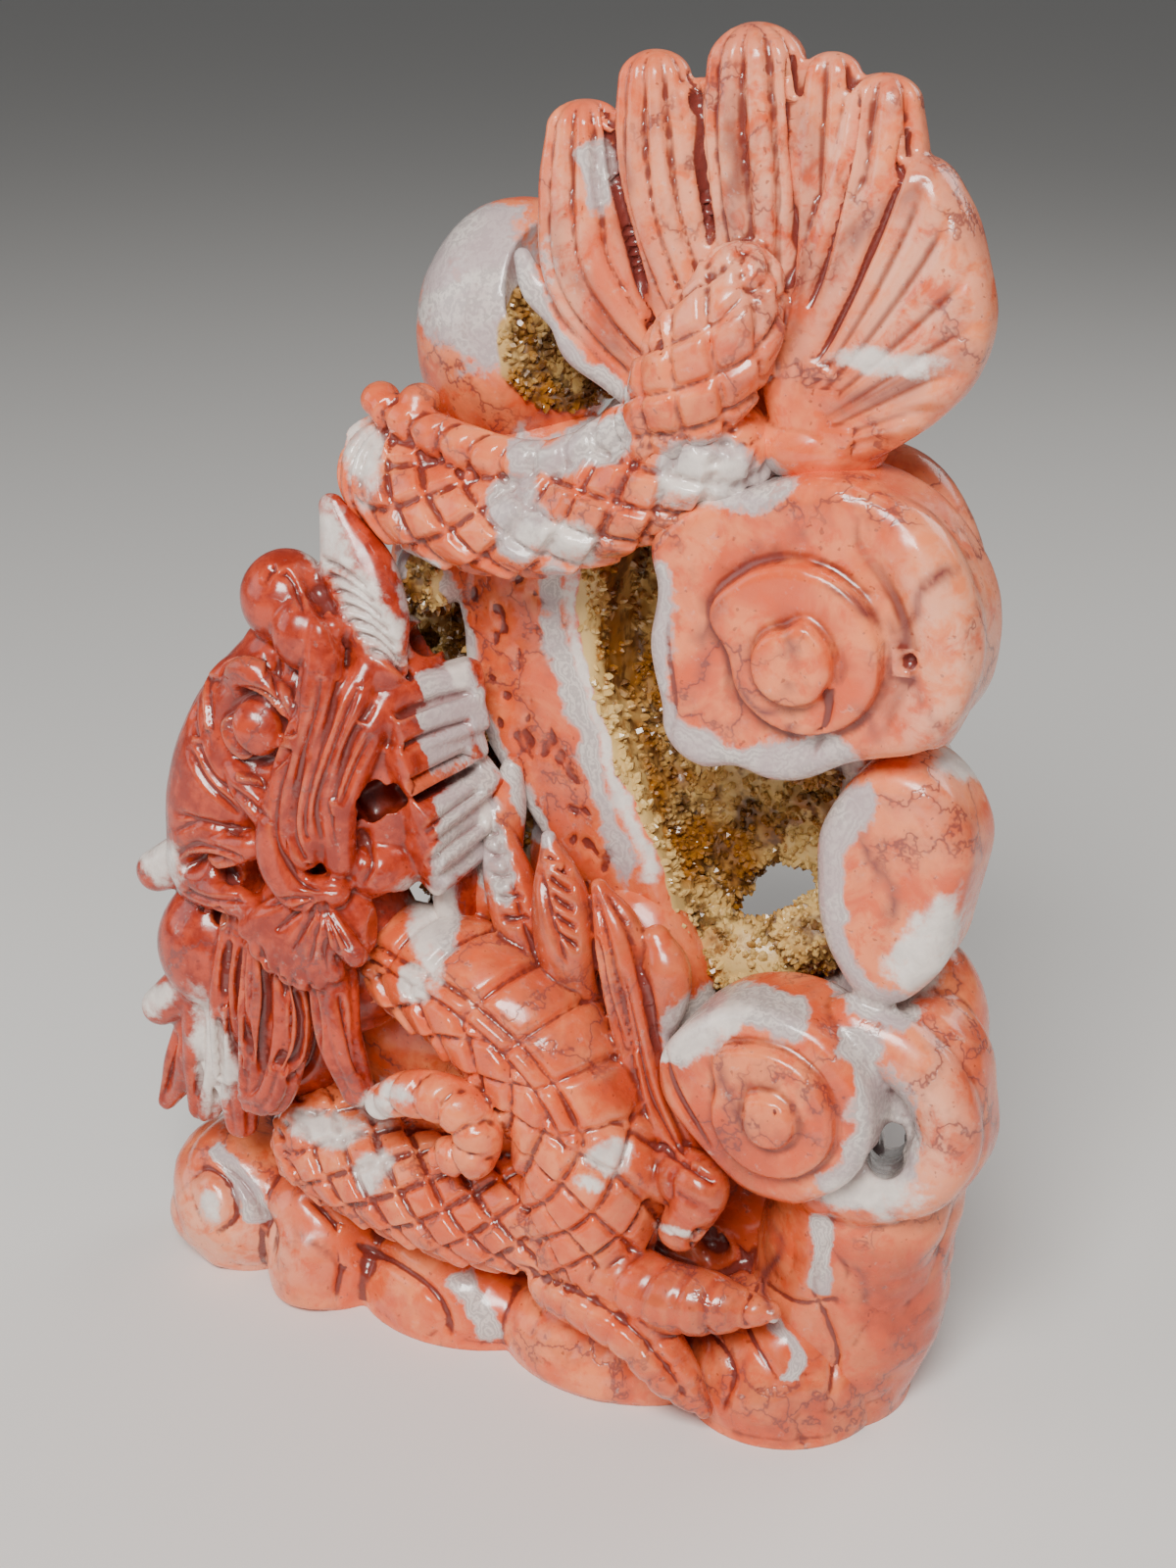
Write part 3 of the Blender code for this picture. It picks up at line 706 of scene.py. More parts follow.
@functools.cache
def head_lines():
    """The cuts and ridges on the head and beard."""
    sheet = Sheet(*HEAD_SHEET)
    turns = np.linspace(0.0, 2 * math.pi, 25)
    eye = [(-35.9 + 4.7 * math.cos(a), 88.3 + 4.8 * math.sin(a)) for a in turns]
    sheet.line([(-41, 95.5), (-43.6, 89), (-42, 82.5), (-37, 80), (-31, 82)], 1.2, 0.9)
    sheet.line([(-44, 92), (-39.5, 96.3), (-33, 97), (-29.5, 93)], 1.2, 0.9)
    sheet.line(eye, 0.7, -1.8, fade=0)
    cuts = (
        [(-45, 94), (-46, 87), (-43.5, 80.5), (-37.5, 77.5), (-33.5, 74.8)],
        [(-50, 73.8), (-44, 73.2), (-37, 73.8)],
        [(-47, 84), (-44.5, 79.5), (-39, 75.6)],
        [(-27.8, 100), (-29.3, 95), (-30, 90), (-31.4, 85), (-33.2, 79), (-33.5, 73),
         (-31, 68.6), (-27, 66.4), (-23.6, 68)],
        [(-25.2, 99), (-26.2, 93), (-28.7, 86), (-30.6, 79), (-30.8, 73.6), (-28.4, 70.2),
         (-25.2, 69.4)],
        [(-22.4, 98.5), (-24.2, 92), (-26.6, 86), (-28.5, 80), (-29, 75), (-27, 72)],
        [(-19.4, 97.6), (-22.6, 91), (-25.1, 84.5), (-27, 78.5), (-26.6, 74)],
        [(-17.6, 95), (-21, 89.5), (-23.6, 83), (-25.1, 77.5), (-24, 72.5)],
        [(-18, 90.5), (-21, 85), (-23.4, 79.5)],
        [(-31.6, 99), (-32.4, 94), (-31.2, 88)],
        [(-20.4, 77), (-19, 72.5), (-21, 68.5)],
        [(-52, 66.2), (-46, 69.9), (-38, 68.6)],
        [(-50.5, 71), (-45, 73.4), (-37.6, 72.4)],
        [(-51, 63), (-45, 61.6), (-38, 63.8)],
        [(-42, 57), (-43.6, 50), (-43.2, 42), (-41, 35)],
        [(-40, 56), (-41, 50), (-40.6, 43), (-39.6, 38)],
        [(-37.5, 57), (-36.5, 50), (-37.5, 43), (-38.4, 37)],
        [(-34.6, 54), (-33, 48), (-34.2, 41), (-38, 36.5)],
        [(-32.6, 53), (-31, 47), (-32, 41), (-35.6, 36.6)],
        [(-29.5, 53), (-28.6, 46), (-30, 40), (-34, 36)],
        [(-47.5, 45), (-48, 38), (-49.6, 30)],
        [(-45, 44), (-45.4, 37), (-46.2, 30)],
        [(-52.4, 40), (-54, 33), (-56, 28)],
        [(-24.8, 52), (-23.6, 46), (-22, 40)],
        [(-33.6, 108), (-32, 110.6), (-29, 109.4), (-27.6, 105)],
    )
    for cut in cuts:
        sheet.line(cut, 0.55, -1.2 if cut[0][1] < 60 else -0.8)
    sheet.line([(-50, 65.4), (-45, 67.2), (-39.4, 66.2)], 1.2, -2.6)
    for tip in ((-36.5, 62.5), (-34.6, 59.4), (-32.4, 56.4), (-29.6, 54.8), (-26.8, 54.4),
                (-24.4, 55.8), (-23, 58.8)):
        sheet.line([(-27, 65.5), ((-27 + tip[0]) / 2, (65.5 + tip[1]) / 2 + 0.6), tip], 0.45, -0.7)
    for strap in ([(-13, 83.6), (-8, 87), (-3, 90.2)], [(-12.6, 83), (-7.6, 86.2), (-3, 89.4)]):
        sheet.line(strap, 0.9, -2.8, fade=0.1)
    for front, back in (((-15, 93.3), (-3.1, 98.5)), ((-14, 89), (-3.4, 94.6)),
                        ((-11.1, 77.8), (-2.1, 85.8)), ((-10.6, 73.7), (-2, 81.7))):
        middle = ((front[0] + back[0]) / 2, (front[1] + back[1]) / 2 + 0.4)
        sheet.line([front, middle, back], 0.5, -1.4, fade=0.1)
    for comb in range(7):
        x, z = -25.6 + 1.1 * comb, 112.4 - 1.8 * comb
        sheet.line([(x, z), (x + 3, z - 0.4), (x + 7.4, z - 2.6)], 0.55, -1.4, fade=0.06)
    sheet.line([(-28, 112), (-24.5, 106), (-21.5, 100.4)], 1.3, -0.9)
    sheet.spot((-43.6, 59.6), (0.9, 1.2), -1.8)
    sheet.spot((-46.6, 60.2), (0.4, 0.5), -0.8)
    return sheet


@functools.cache
def front_lines():
    """The cuts on the clouds, the base, the fan, the legs and the column."""
    sheet = Sheet(*FRONT_SHEET)
    sheet.line([(45, 129), (44, 122.5), (49, 115.5), (50.4, 108.5), (48.6, 101.5), (46.6, 96)],
               1.5, -0.5)
    sheet.line([(41.4, 104.5), (40.8, 100), (39.4, 95)], 0.7, -0.8)
    sheet.spot((50.6, 108.8), (0.8, 1.0), -1.6, turn=-20)
    sheet.spot((36.2, 46.6), (0.35, 0.5), -0.5)
    grooves = (
        [(46.8, 165), (44.6, 158), (41, 149), (36, 139)],
        [(50, 164), (47, 156), (42.6, 147), (36.6, 138)],
        [(53.4, 161), (49, 153), (43.6, 145), (37.4, 137)],
        [(56.2, 154.6), (51, 149), (45, 143), (38, 136.4)],
        [(57.6, 149), (52, 145.4), (46, 141), (38.6, 135.4)],
        [(57, 143), (51, 141.4), (45.6, 138.4), (39, 134.4)],
        [(54, 138), (49, 137.4), (44.6, 135.8), (39.4, 133.4)],
        [(48.6, 134), (45, 133.8), (40, 132.4)],
    )
    for groove in grooves:
        sheet.line(groove, 1.0, -0.6, fade=0.2)
    gaps = (
        [(12.0, 170), (12.8, 162), (15.4, 153.4), (19.2, 141)],
        [(22.6, 173), (23.2, 166), (24.2, 159), (25, 154)],
        [(34.2, 175), (34.4, 167), (34.6, 159), (34.6, 150)],
        [(41.4, 172), (41, 165), (39.4, 157), (37, 148)],
        [(47.6, 168), (46.2, 162), (42.6, 152), (38, 142)],
    )
    for gap in gaps:
        sheet.line(gap, 0.5, -2.0, fade=0.12)
    sheet.line([(20, 92.6), (21.6, 99), (20.6, 106), (20.4, 112)], 0.5, -0.5)
    for step in range(5):
        x, z = 4.4 + 0.25 * step, 74.5 - 2.6 * step
        sheet.line([(x - 0.6, z + 1.2), (x + 1.2, z + 0.4), (x + 3.4, z - 0.2)], 0.55, -1.5)
        x, z = -5.8 + 0.9 * step, 76.5 - 2.9 * step
        sheet.line([(x - 0.6, z + 0.6), (x + 1.6, z + 0.9), (x + 3.8, z + 2.0)], 0.6, -1.6)
    sheet.line([(-3.6, 79), (-1.4, 73), (0.6, 66), (3, 60)], 0.5, -1.0)
    rocks = (
        [(-36, 15), (-31.5, 12.6), (-28.4, 8), (-31.4, -3)],
        [(-52, 17), (-46, 14), (-42.5, 8), (-43, 0)],
        [(-56, 12), (-53, 15), (-49, 13), (-48, 7.6), (-52, 3.4)],
        [(-3, 12), (6, 11.6), (15, 8.6), (22, 3), (26, -3)],
        [(-27, 9), (-20, 7.6), (-14, 4), (-12, -3)],
    )
    for rock in rocks:
        sheet.line(rock, 1.0, -1.2)
    sheet.spot((27.8, 24.2), (2.4, 2.2), -2.6, turn=-30)
    for crack in ([(30, 27), (34, 21), (33, 14), (38, 6)], [(34, 21), (40, 19), (46, 21)],
                  [(27, 12), (31, 6), (30, -2)], [(44, 30), (42, 22), (46, 13), (45, 3)]):
        sheet.line(crack, 0.6, -0.6)
    folds = (
        [(14.6, 62), (16.6, 53), (19.4, 44), (25, 36)],
        [(17.6, 63), (19.6, 54), (22.6, 46), (28, 38)],
        [(11, 66), (12.4, 58), (15.6, 50)],
        [(3, 74), (4.4, 68), (7, 61)],
        [(20, 38), (24, 36), (28.6, 34)],
    )
    for fold in folds:
        sheet.line(fold, 0.6, -1.0)
    return sheet


@functools.cache
def mask_sheets():
    """Where the stone is white, grey banded, deep red or streaked, where it is paler (partly its own
    tone, partly painted highlight and glow of light through the stone), and where it has a crust
    of crystals, with its cream parts, as seen from the front."""
    sheets = {name: Sheet(*FRONT_SHEET)
              for name in ("white", "grey", "red", "druse", "cream", "light", "stain")}
    white, grey, red, druse, cream, light, stain = sheets.values()
    for streak in (
        [(5.2, 158), (6, 152), (9.9, 147), (16.2, 140)], [(13.6, 164), (15, 155), (18.6, 146)],
        [(36, 171), (36.4, 160), (36.7, 150), (34, 142)],
        [(36.7, 147), (41.8, 155), (46.7, 160), (50.4, 165)],
        [(38.7, 136.2), (48.2, 140.8), (55.4, 144)], [(27, 172), (28, 163), (27.4, 154)],
    ):
        stain.line(streak, 1.4, 1.0)
    for crack in (
        [(47, 114.8), (48.8, 110.7), (52.4, 103.6), (55.8, 101)],
        [(39.9, 117), (44.2, 115.4), (47.1, 112.6)], [(35.4, 111.5), (36.6, 108), (35.6, 104)],
        [(28.7, 114.4), (25.4, 109.4), (24.5, 101.4)], [(37, 101.2), (36.1, 95.3), (33.4, 92)],
        [(43.7, 103.3), (46, 101.4), (47.3, 98.4)], [(48.6, 112), (52.6, 118.7), (56.6, 121.3)],
        [(30, 118), (34, 121.6), (41, 123)], [(29.4, 104), (33, 100.4), (37, 101.2)],
        [(46, 92), (46.4, 86), (50.4, 80), (49.2, 73.4)],
        [(28, 53), (30, 46), (35, 41.4)], [(36, 33), (37.4, 27), (35.4, 20), (39, 13)],
        [(43, 30), (48, 26.6), (50, 21)], [(-38, 10), (-33, 6), (-30, 1)],
    ):
        stain.line(crack, 0.6, 1.4, fade=0.3)
    # The light zone: paler stone, partly its own tone and partly painted highlight and glow of light
    # through the stone
    for centre, radii in (((32, 160), (19, 16)), ((50, 150), (8, 14)), ((55, 110), (7, 18)),
                          ((7, 152), (3, 12)), ((-50, 4), (14, 9)), ((57, 50), (4, 12))):
        light.spot(centre, radii, 0.8, soft=0.7)
    druse.area([(8.8, 119), (9.6, 104), (11.4, 96), (15.2, 88), (19.2, 80), (22.4, 70), (24, 60),
                (34, 62), (43, 60), (44, 70), (43, 84), (44, 94), (30, 96), (22, 100), (19, 119)],
               1.0)
    cream.line([(9.2, 117), (10, 104), (12.2, 95.4), (16, 87.4), (20, 79), (23, 70), (25, 61)],
               2.2, 1.0, fade=0.05)
    cream.spot((34, 66), (7, 4), 0.8, soft=0.6)
    cream.spot((39, 82), (3, 6), 0.7, soft=0.6)
    druse.area([(-10, 114), (-9, 104), (-8, 97), (-4.4, 90), (0, 84), (2.6, 79), (1, 72),
                (-4, 65), (-8, 58), (-16, 58), (-22, 72), (-22, 88), (-17, 100), (-15, 112)], 1.0)
    for centre, radii, turn in (
        ((-27, 114), (5, 3.4), -60), ((-21, 104), (6.5, 3.2), -58), ((-57, 63), (4, 3.4), 20),
        ((-60, 41), (3.6, 3.2), 20), ((-50, 34), (3.4, 9), 8), ((-31, 27), (6.5, 3), 10),
        ((-24, 22), (2.4, 4), -40), ((-21, 125), (3, 5), 0), ((6, 117.5), (5, 2.4), 0),
        ((24, 127), (6, 2.6), 25), ((47, 143), (6, 1.6), -8), ((-13, 65), (3, 4), -35),
        ((-16, 53), (2.2, 3), 0), ((13, 34), (3.4, 2.4), 40), ((10, 29), (2.4, 1.6), 20),
        ((-52.5, 8), (2.2, 3), 0), ((-23, 32), (2.4, 3), 0),
        ((-14, 61), (2.6, 7), 10), ((-20, 36), (2.4, 2), 0), ((55, 74), (3.4, 8), -20),
        ((58, 98), (4, 2), 0), ((50, 38.5), (7, 3.2), 10), ((-5, 79), (1.4, 2.2), 0),
        ((-8, 100), (1.4, 4), 10), ((21.8, 24.8), (2.4, 1.0), 0),
    ):
        white.spot(centre, radii, 1.0, soft=0.6, turn=turn)
    white.line([(7.6, 116), (8.4, 106), (10.2, 97), (13.6, 89), (17.6, 80), (20, 73)],
               1.1, 1.0, fade=0.1)
    white.area([(20, 50), (21, 54), (27, 60), (33, 62), (30, 56), (25, 52)], 0.8)
    for points, width in (
        ([(19, 118), (18.4, 108), (19, 99), (23, 94.2), (30, 93), (39, 95), (46, 97.6)], 2.9),
        ([(47, 94), (42.6, 86), (42, 76), (44, 68), (50, 64.4), (55, 66)], 2.8),
        ([(21, 50), (24, 57), (32, 61.2), (41, 60.4)], 3.2),
        ([(44, 61), (49, 55), (50, 48), (47, 40), (43, 35.6)], 3.0),
        ([(-9.4, 112), (-8.6, 104), (-7.2, 97), (-4, 90), (1, 83), (5, 77)], 1.8),
        ([(5, 116), (5.6, 106), (7.6, 97), (11, 88), (14.6, 80), (16.6, 74)], 1.9),
        ([(-1, 127.6), (5, 127.6), (10, 130), (15, 133)], 2.6),
        ([(0, 150), (4, 143.6), (9, 138.6), (15, 135.4)], 2.4),
        ([(-14, 95), (-10, 97), (-5.8, 98.4)], 2.4), ([(-14.5, 90.3), (-10, 92.6), (-5.9, 94.5)], 2.4),
        ([(-14.5, 85.4), (-10, 88), (-6.5, 90.3)], 2.4), ([(-12.5, 79), (-9, 82), (-4.9, 85.7)], 2.6),
        ([(-11.6, 75), (-8, 78), (-4.7, 81.2)], 2.4), ([(-10.6, 71.6), (-8, 74), (-4.7, 77.3)], 2.2),
        ([(42, 34), (43.2, 27.6), (42.2, 21)], 1.7), ([(36, 16), (40, 12), (39, 6)], 1.2),
        ([(-11, 9), (-8, 4), (-6, -2)], 2.8), ([(-51, 20), (-46, 14), (-43, 8)], 2.6),
    ):
        grey.line(points, width, 1.0, fade=0.08)
    for centre, radii in (((-13, 109), (5, 5)), ((-5, 148), (10, 11)), ((10.5, 161), (2.4, 4)),
                          ((1, 120), (4, 5)), ((27, 128), (9, 4)), ((-3, 73), (2.6, 6)),
                          ((-11, 67), (2.6, 8)), ((51.5, 47), (5, 10)), ((47, 38), (4, 3)),
                          ((30, 92), (5, 3))):
        grey.spot(centre, radii, 0.8, soft=0.5)
    for centre, radii, value in (
        ((4, 68), (9, 12), 0.8), ((17, 54), (6, 16), 0.8), ((24, 20), (11, 14), 0.7),
        ((40, 14), (18, 18), 0.3), ((26, 34), (8, 8), 0.9), ((54, 24), (7, 8), 0.6),
    ):
        red.spot(centre, radii, value, soft=0.6)
    return sheets


@functools.cache
def pitted_sheet():
    """Where the upright band beside the hollow is pitted."""
    sheet = Sheet(*FRONT_SHEET)
    sheet.area([(-7, 114), (-6, 100), (-1, 88), (6, 78), (14, 66), (16, 72), (9, 86), (4, 98),
                (3, 114)], 1.0)
    return sheet


def fuse(holder, grain):
    """Fuses an object's overlapping shells, in cells of grain."""
    modifier = holder.modifiers.new("fuse", "REMESH")
    modifier.mode = "VOXEL"
    modifier.voxel_size = grain


def fused(rough, grain):
    holder = in_scene("fused", as_mesh(rough.shells, "fused"))
    fuse(holder, grain)
    return holder


def freeze(holder):
    """Applies an object's modifiers to its mesh."""
    mesh = finished(holder)
    holder.modifiers.clear()
    old, holder.data = holder.data, mesh
    bpy.data.meshes.remove(old)


def vertex_rows(mesh):
    places = np.empty(3 * len(mesh.vertices))
    mesh.vertices.foreach_get("co", places)
    outward = np.empty(3 * len(mesh.vertices))
    mesh.vertices.foreach_get("normal", outward)
    return places.reshape(-1, 3), outward.reshape(-1, 3)


def hollow_share(points):
    """How far inside one of the geode's crystal hollows each point lies, from 0 to 1."""
    share = np.zeros(len(points))
    for centre, radii in (
        ((24, 5, 84), (16, 10, 36)), ((2, -1, 139), (10.5, 11, 9.5)), ((-12, 1, 88), (7, 7, 24)),
        ((-17, 2, 97), (6, 8, 8)), ((54, -10, 47), (3, 10, 3.6)),
    ):
        size = np.linalg.norm((points - centre) / radii, axis=1)
        share = np.maximum(share, 1 - ease(0.86, 1.08, size))
    return share


def relieve(mesh, depth, is_head, rugged):
    """Moves the fused stone's surface to the drawn lines, the hollows' crust and the hand's marks."""
    places, outward = vertex_rows(mesh)
    to_camera = CAMERA_PLACE - places
    to_camera /= np.linalg.norm(to_camera, axis=1)[:, None]
    facing = ease(*FACING, (outward * to_camera).sum(axis=1))
    if is_head:
        drawn = head_lines().at(places) * ease(*HEAD_LINES, places[:, 1])
    else:
        drawn = front_lines().at(places) * ease(*FRONT_LINES, places[:, 1])
    share = hollow_share(places)
    crust = 0.6 * lumps(places, 2.4) + 0.4 * lumps(places + 40, 1.1)
    hand = 0.3 * lumps(places, 9.0) + 0.12 * lumps(places + 90, 3.6)
    pits = pitted_sheet().at(places) * facing
    pits = -0.45 * pits * ease(0.3, 0.6, lumps(places * (1.0, 1.0, 0.7), 1.2))
    broken = np.abs(lumps(places + 7, 13.0)) + 0.6 * np.abs(lumps(places + 60, 6.0))
    broken = 1.7 * broken - 0.9 + 0.2 * lumps(places + 12, 2.0)
    moved = depth * drawn * facing + share * crust + hand * (1 - share) + pits
    moved += rugged * broken * ease(*BROKEN_ROCK, places[:, 2])
    flat = ease(0.0, 1.5, places[:, 2])
    places += outward * (moved * flat)[:, None]
    mesh.vertices.foreach_set("co", places.ravel())
    mesh.update()


def mesh_edges(mesh):
    ends = np.empty(2 * len(mesh.edges), int)
    mesh.edges.foreach_get("vertices", ends)
    return ends.reshape(-1, 2).T


def drop_crumbs(mesh):
    """Drops what the fusing seals off inside the stone, and any crumb beside it."""
    first, second = mesh_edges(mesh)
    label = np.arange(len(mesh.vertices))
    while True:
        lower = np.minimum(label[first], label[second])
        new = label.copy()
        np.minimum.at(new, first, lower)
        np.minimum.at(new, second, lower)
        new = new[new]
        if (new == label).all():
            break
        label = new
    places, _ = vertex_rows(mesh)
    mesh.calc_loop_triangles()
    corners = np.empty(3 * len(mesh.loop_triangles), int)
    mesh.loop_triangles.foreach_get("vertices", corners)
    a, b, c = (places[ends] for ends in corners.reshape(-1, 3).T)
    volumes = np.bincount(label[corners[::3]], (a * np.cross(b, c)).sum(axis=1) / 6, len(label))
    crumbs = volumes[label] < CRUMB_VOLUME
    if not crumbs.any():
        return
    shell = bmesh.new()
    shell.from_mesh(mesh)
    shell.verts.ensure_lookup_table()
    dropped = [shell.verts[index] for index in np.flatnonzero(crumbs)]
    bmesh.ops.delete(shell, geom=dropped, context="VERTS")
    shell.to_mesh(mesh)
    shell.free()


def stand_flat(mesh):
    """Cuts the underside flat at the table and closes it."""
    shell = bmesh.new()
    shell.from_mesh(mesh)
    everything = shell.verts[:] + shell.edges[:] + shell.faces[:]
    bmesh.ops.bisect_plane(
        shell, geom=everything, plane_co=(0.0, 0.0, 0.0), plane_no=(0.0, 0.0, 1.0),
        clear_inner=True,
    )
    rim = [edge for edge in shell.edges if edge.is_boundary]
    underside = bmesh.ops.edgeloop_fill(shell, edges=rim)["faces"]
    bmesh.ops.triangulate(shell, faces=underside)
    bmesh.ops.recalc_face_normals(shell, faces=shell.faces)
    shell.to_mesh(mesh)
    shell.free()


def hollowness(mesh, passes):
    """How deep each vertex lies between its neighbours: above 0 in a cut, below 0 on an edge."""
    places, outward = vertex_rows(mesh)
    first, second = mesh_edges(mesh)
    size = len(places)
    count = np.bincount(first, minlength=size) + np.bincount(second, minlength=size)
    blurred = places.copy()
    for _ in range(passes):
        for axis in range(3):
            values = blurred[:, axis]
            total = np.bincount(first, values[second], size)
            total += np.bincount(second, values[first], size)
            blurred[:, axis] = (values + total) / (count + 1)
    return ((blurred - places) * outward).sum(axis=1)


def write_masks(mesh, redness, has_druse):
    """Stores the stone's colour zones on the mesh, as one value for each vertex, and the depth of
    each vertex in cuts and creases, from which the material paints shade and edge highlight.
    """
    places, _ = vertex_rows(mesh)
    wobble = np.stack([lumps(places + shift, 5.0) for shift in (0, 50, 100)], axis=1)
    fine = np.stack([lumps(places + shift, 1.8) for shift in (20, 70, 120)], axis=1)
    wavering = places + 1.1 * wobble + 0.5 * fine
    masks = {name: sheet.at(wavering) for name, sheet in mask_sheets().items()}
    masks["red"] = np.maximum(masks["red"], redness)
    masks["light"] *= 1 - masks["red"]
    druse = masks.pop("druse") * ease(*CRUST, places[:, 1])
    masks["hollow"] = np.maximum(hollow_share(wavering), druse) if has_druse else 0 * druse
    # cut and fold: how deep each vertex lies in a narrow cut and in a broad crease; the material
    # paints shade into both and a highlight along the raised edges
    for name, passes, gain in (("cut", 4, 3.0), ("fold", 24, 0.8)):
        masks[name] = np.clip(hollowness(mesh, passes) * gain, -1.0, 1.0) * 0.5 + 0.5
    for name, values in masks.items():
        layer = mesh.attributes.new(name, "FLOAT", "POINT")
        layer.data.foreach_set("value", values)


def feed(tree, node, inputs):
    """Feeds a node's sockets, each from another socket or with a plain number or colour."""
    for name, value in inputs.items():
        socket = node.inputs[name]
        if isinstance(value, bpy.types.NodeSocket):
            tree.links.new(value, socket)
        else:
            socket.default_value = (*value, 1.0) if socket.type == "RGBA" else value


def mix(tree, share, first, second, kind="RGBA"):
    """A mix of two colours, or with kind FLOAT of two numbers."""
    node = tree.nodes.new("ShaderNodeMix")
    node.data_type = kind
    at_none, at_full, out = MIX_SOCKETS[kind]
    feed(tree, node, {"Factor": share, at_none: first, at_full: second})
    return node.outputs[out]


def layered(tree, stone, layers):
    """The stone's colour with others laid over it in turn, each by its share."""
    for share, colour in layers:
        stone = mix(tree, share, stone, colour)
    return stone


def sums(tree, operation, *values, clamp=False):
    node = tree.nodes.new("ShaderNodeMath")
    node.operation = operation
    node.use_clamp = clamp
    feed(tree, node, dict(enumerate(values)))
    return node.outputs[0]


def remap(tree, value, low, high, to_low=0.0, to_high=1.0):
    node = tree.nodes.new("ShaderNodeMapRange")
    node.interpolation_type = "SMOOTHSTEP"
    feed(tree, node, {"Value": value, "From Min": low, "From Max": high, "To Min": to_low,
                      "To Max": to_high})
    return node.outputs["Result"]


def noise(tree, place, scale, detail=4.0, rough=0.55, distortion=0.0, output="Fac"):
    node = tree.nodes.new("ShaderNodeTexNoise")
    feed(tree, node, {"Vector": place, "Scale": scale, "Detail": detail, "Roughness": rough,
                      "Distortion": distortion})
    return node.outputs[output]


def zone(tree, name):
    """A zone stored on the mesh, from 0 to 1."""
    node = tree.nodes.new("ShaderNodeAttribute")
    node.attribute_name = name
    return node.outputs["Fac"]


def object_place(tree):
    """Places on the object in millimetres, for the patterns."""
    where = tree.nodes.new("ShaderNodeTexCoord")
    scaled = tree.nodes.new("ShaderNodeMapping")
    feed(tree, scaled, {"Scale": (1 / UNIT, 1 / UNIT, 1 / UNIT), "Vector": where.outputs["Object"]})
    return scaled.outputs["Vector"]


@functools.cache
def druse_group(colours):
    """The yellow-brown grain of the crystal crust, shared by the stone and the crystals."""
    tree = bpy.data.node_groups.new("druse_grain", "ShaderNodeTree")
    tree.interface.new_socket("Cream", in_out="INPUT", socket_type="NodeSocketFloat")
    tree.interface.new_socket("Color", in_out="OUTPUT", socket_type="NodeSocketColor")
    tree.interface.new_socket("Grains", in_out="OUTPUT", socket_type="NodeSocketFloat")
    place = object_place(tree)
    grains = noise(tree, place, 0.8, 4.0, 0.7)
    patches = noise(tree, place, 0.1, 3.0, 0.6)
    stains = noise(tree, place, 0.3, 3.0, 0.65)
    given = tree.nodes.new("NodeGroupInput").outputs["Cream"]
    dusty = sums(tree, "ADD", given, remap(tree, grains, 0.3, 0.7, -0.3, 0.3))
    colour = layered(tree, colours.druse, (
        (remap(tree, patches, 0.4, 0.62), colours.cream),
        (remap(tree, stains, 0.46, 0.62, 0.0, 0.85), colours.druse_dark),
        (remap(tree, grains, 0.5, 0.7, 0.0, 0.4), colours.druse),
        (remap(tree, dusty, 0.3, 0.6), colours.cream),
    ))
    feed(tree, tree.nodes.new("NodeGroupOutput"), {"Color": colour, "Grains": grains})
    return tree


def crust_outputs(tree, colours):
    """The crystal crust's colour and grains, paler in the cream zone."""
    crust = tree.nodes.new("ShaderNodeGroup")
    crust.node_tree = druse_group(colours)
    feed(tree, crust, {"Cream": zone(tree, "cream")})
    return crust.outputs["Color"], crust.outputs["Grains"]


def new_material(name):
    material = bpy.data.materials.new(name)
    material.use_nodes = True
    return material, material.node_tree, material.node_tree.nodes["Principled BSDF"]


def vein_shares(tree, place):
    """The veins, thin and wandering in patches, and the wide halo around them."""
    bent = tree.nodes.new("ShaderNodeVectorMath")
    bent.operation = "MULTIPLY_ADD"
    flow = noise(tree, place, 0.13, 4.0, 0.65, output="Color")
    feed(tree, bent, {0: flow, 1: (16.0, 16.0, 16.0), 2: place})
    cells = tree.nodes.new("ShaderNodeTexVoronoi")
    cells.feature = "DISTANCE_TO_EDGE"
    feed(tree, cells, {"Scale": 0.085, "Vector": bent.outputs["Vector"]})
    patchy = remap(tree, noise(tree, place, 0.06, 2.0), 0.44, 0.58)
    for width, strength in ((0.04, 1.0), (0.2, 0.3)):
        near = remap(tree, cells.outputs["Distance"], 0.0, width, strength, 0.0)
        yield sums(tree, "MULTIPLY", near, patchy, clamp=True)


def frayed(tree, place, name, scale, rough, spread):
    """A stored zone with its edge frayed by noise."""
    fray = remap(tree, noise(tree, place, scale, 4.0, rough), 0.3, 0.7, -spread, spread)
    return sums(tree, "ADD", zone(tree, name), fray)


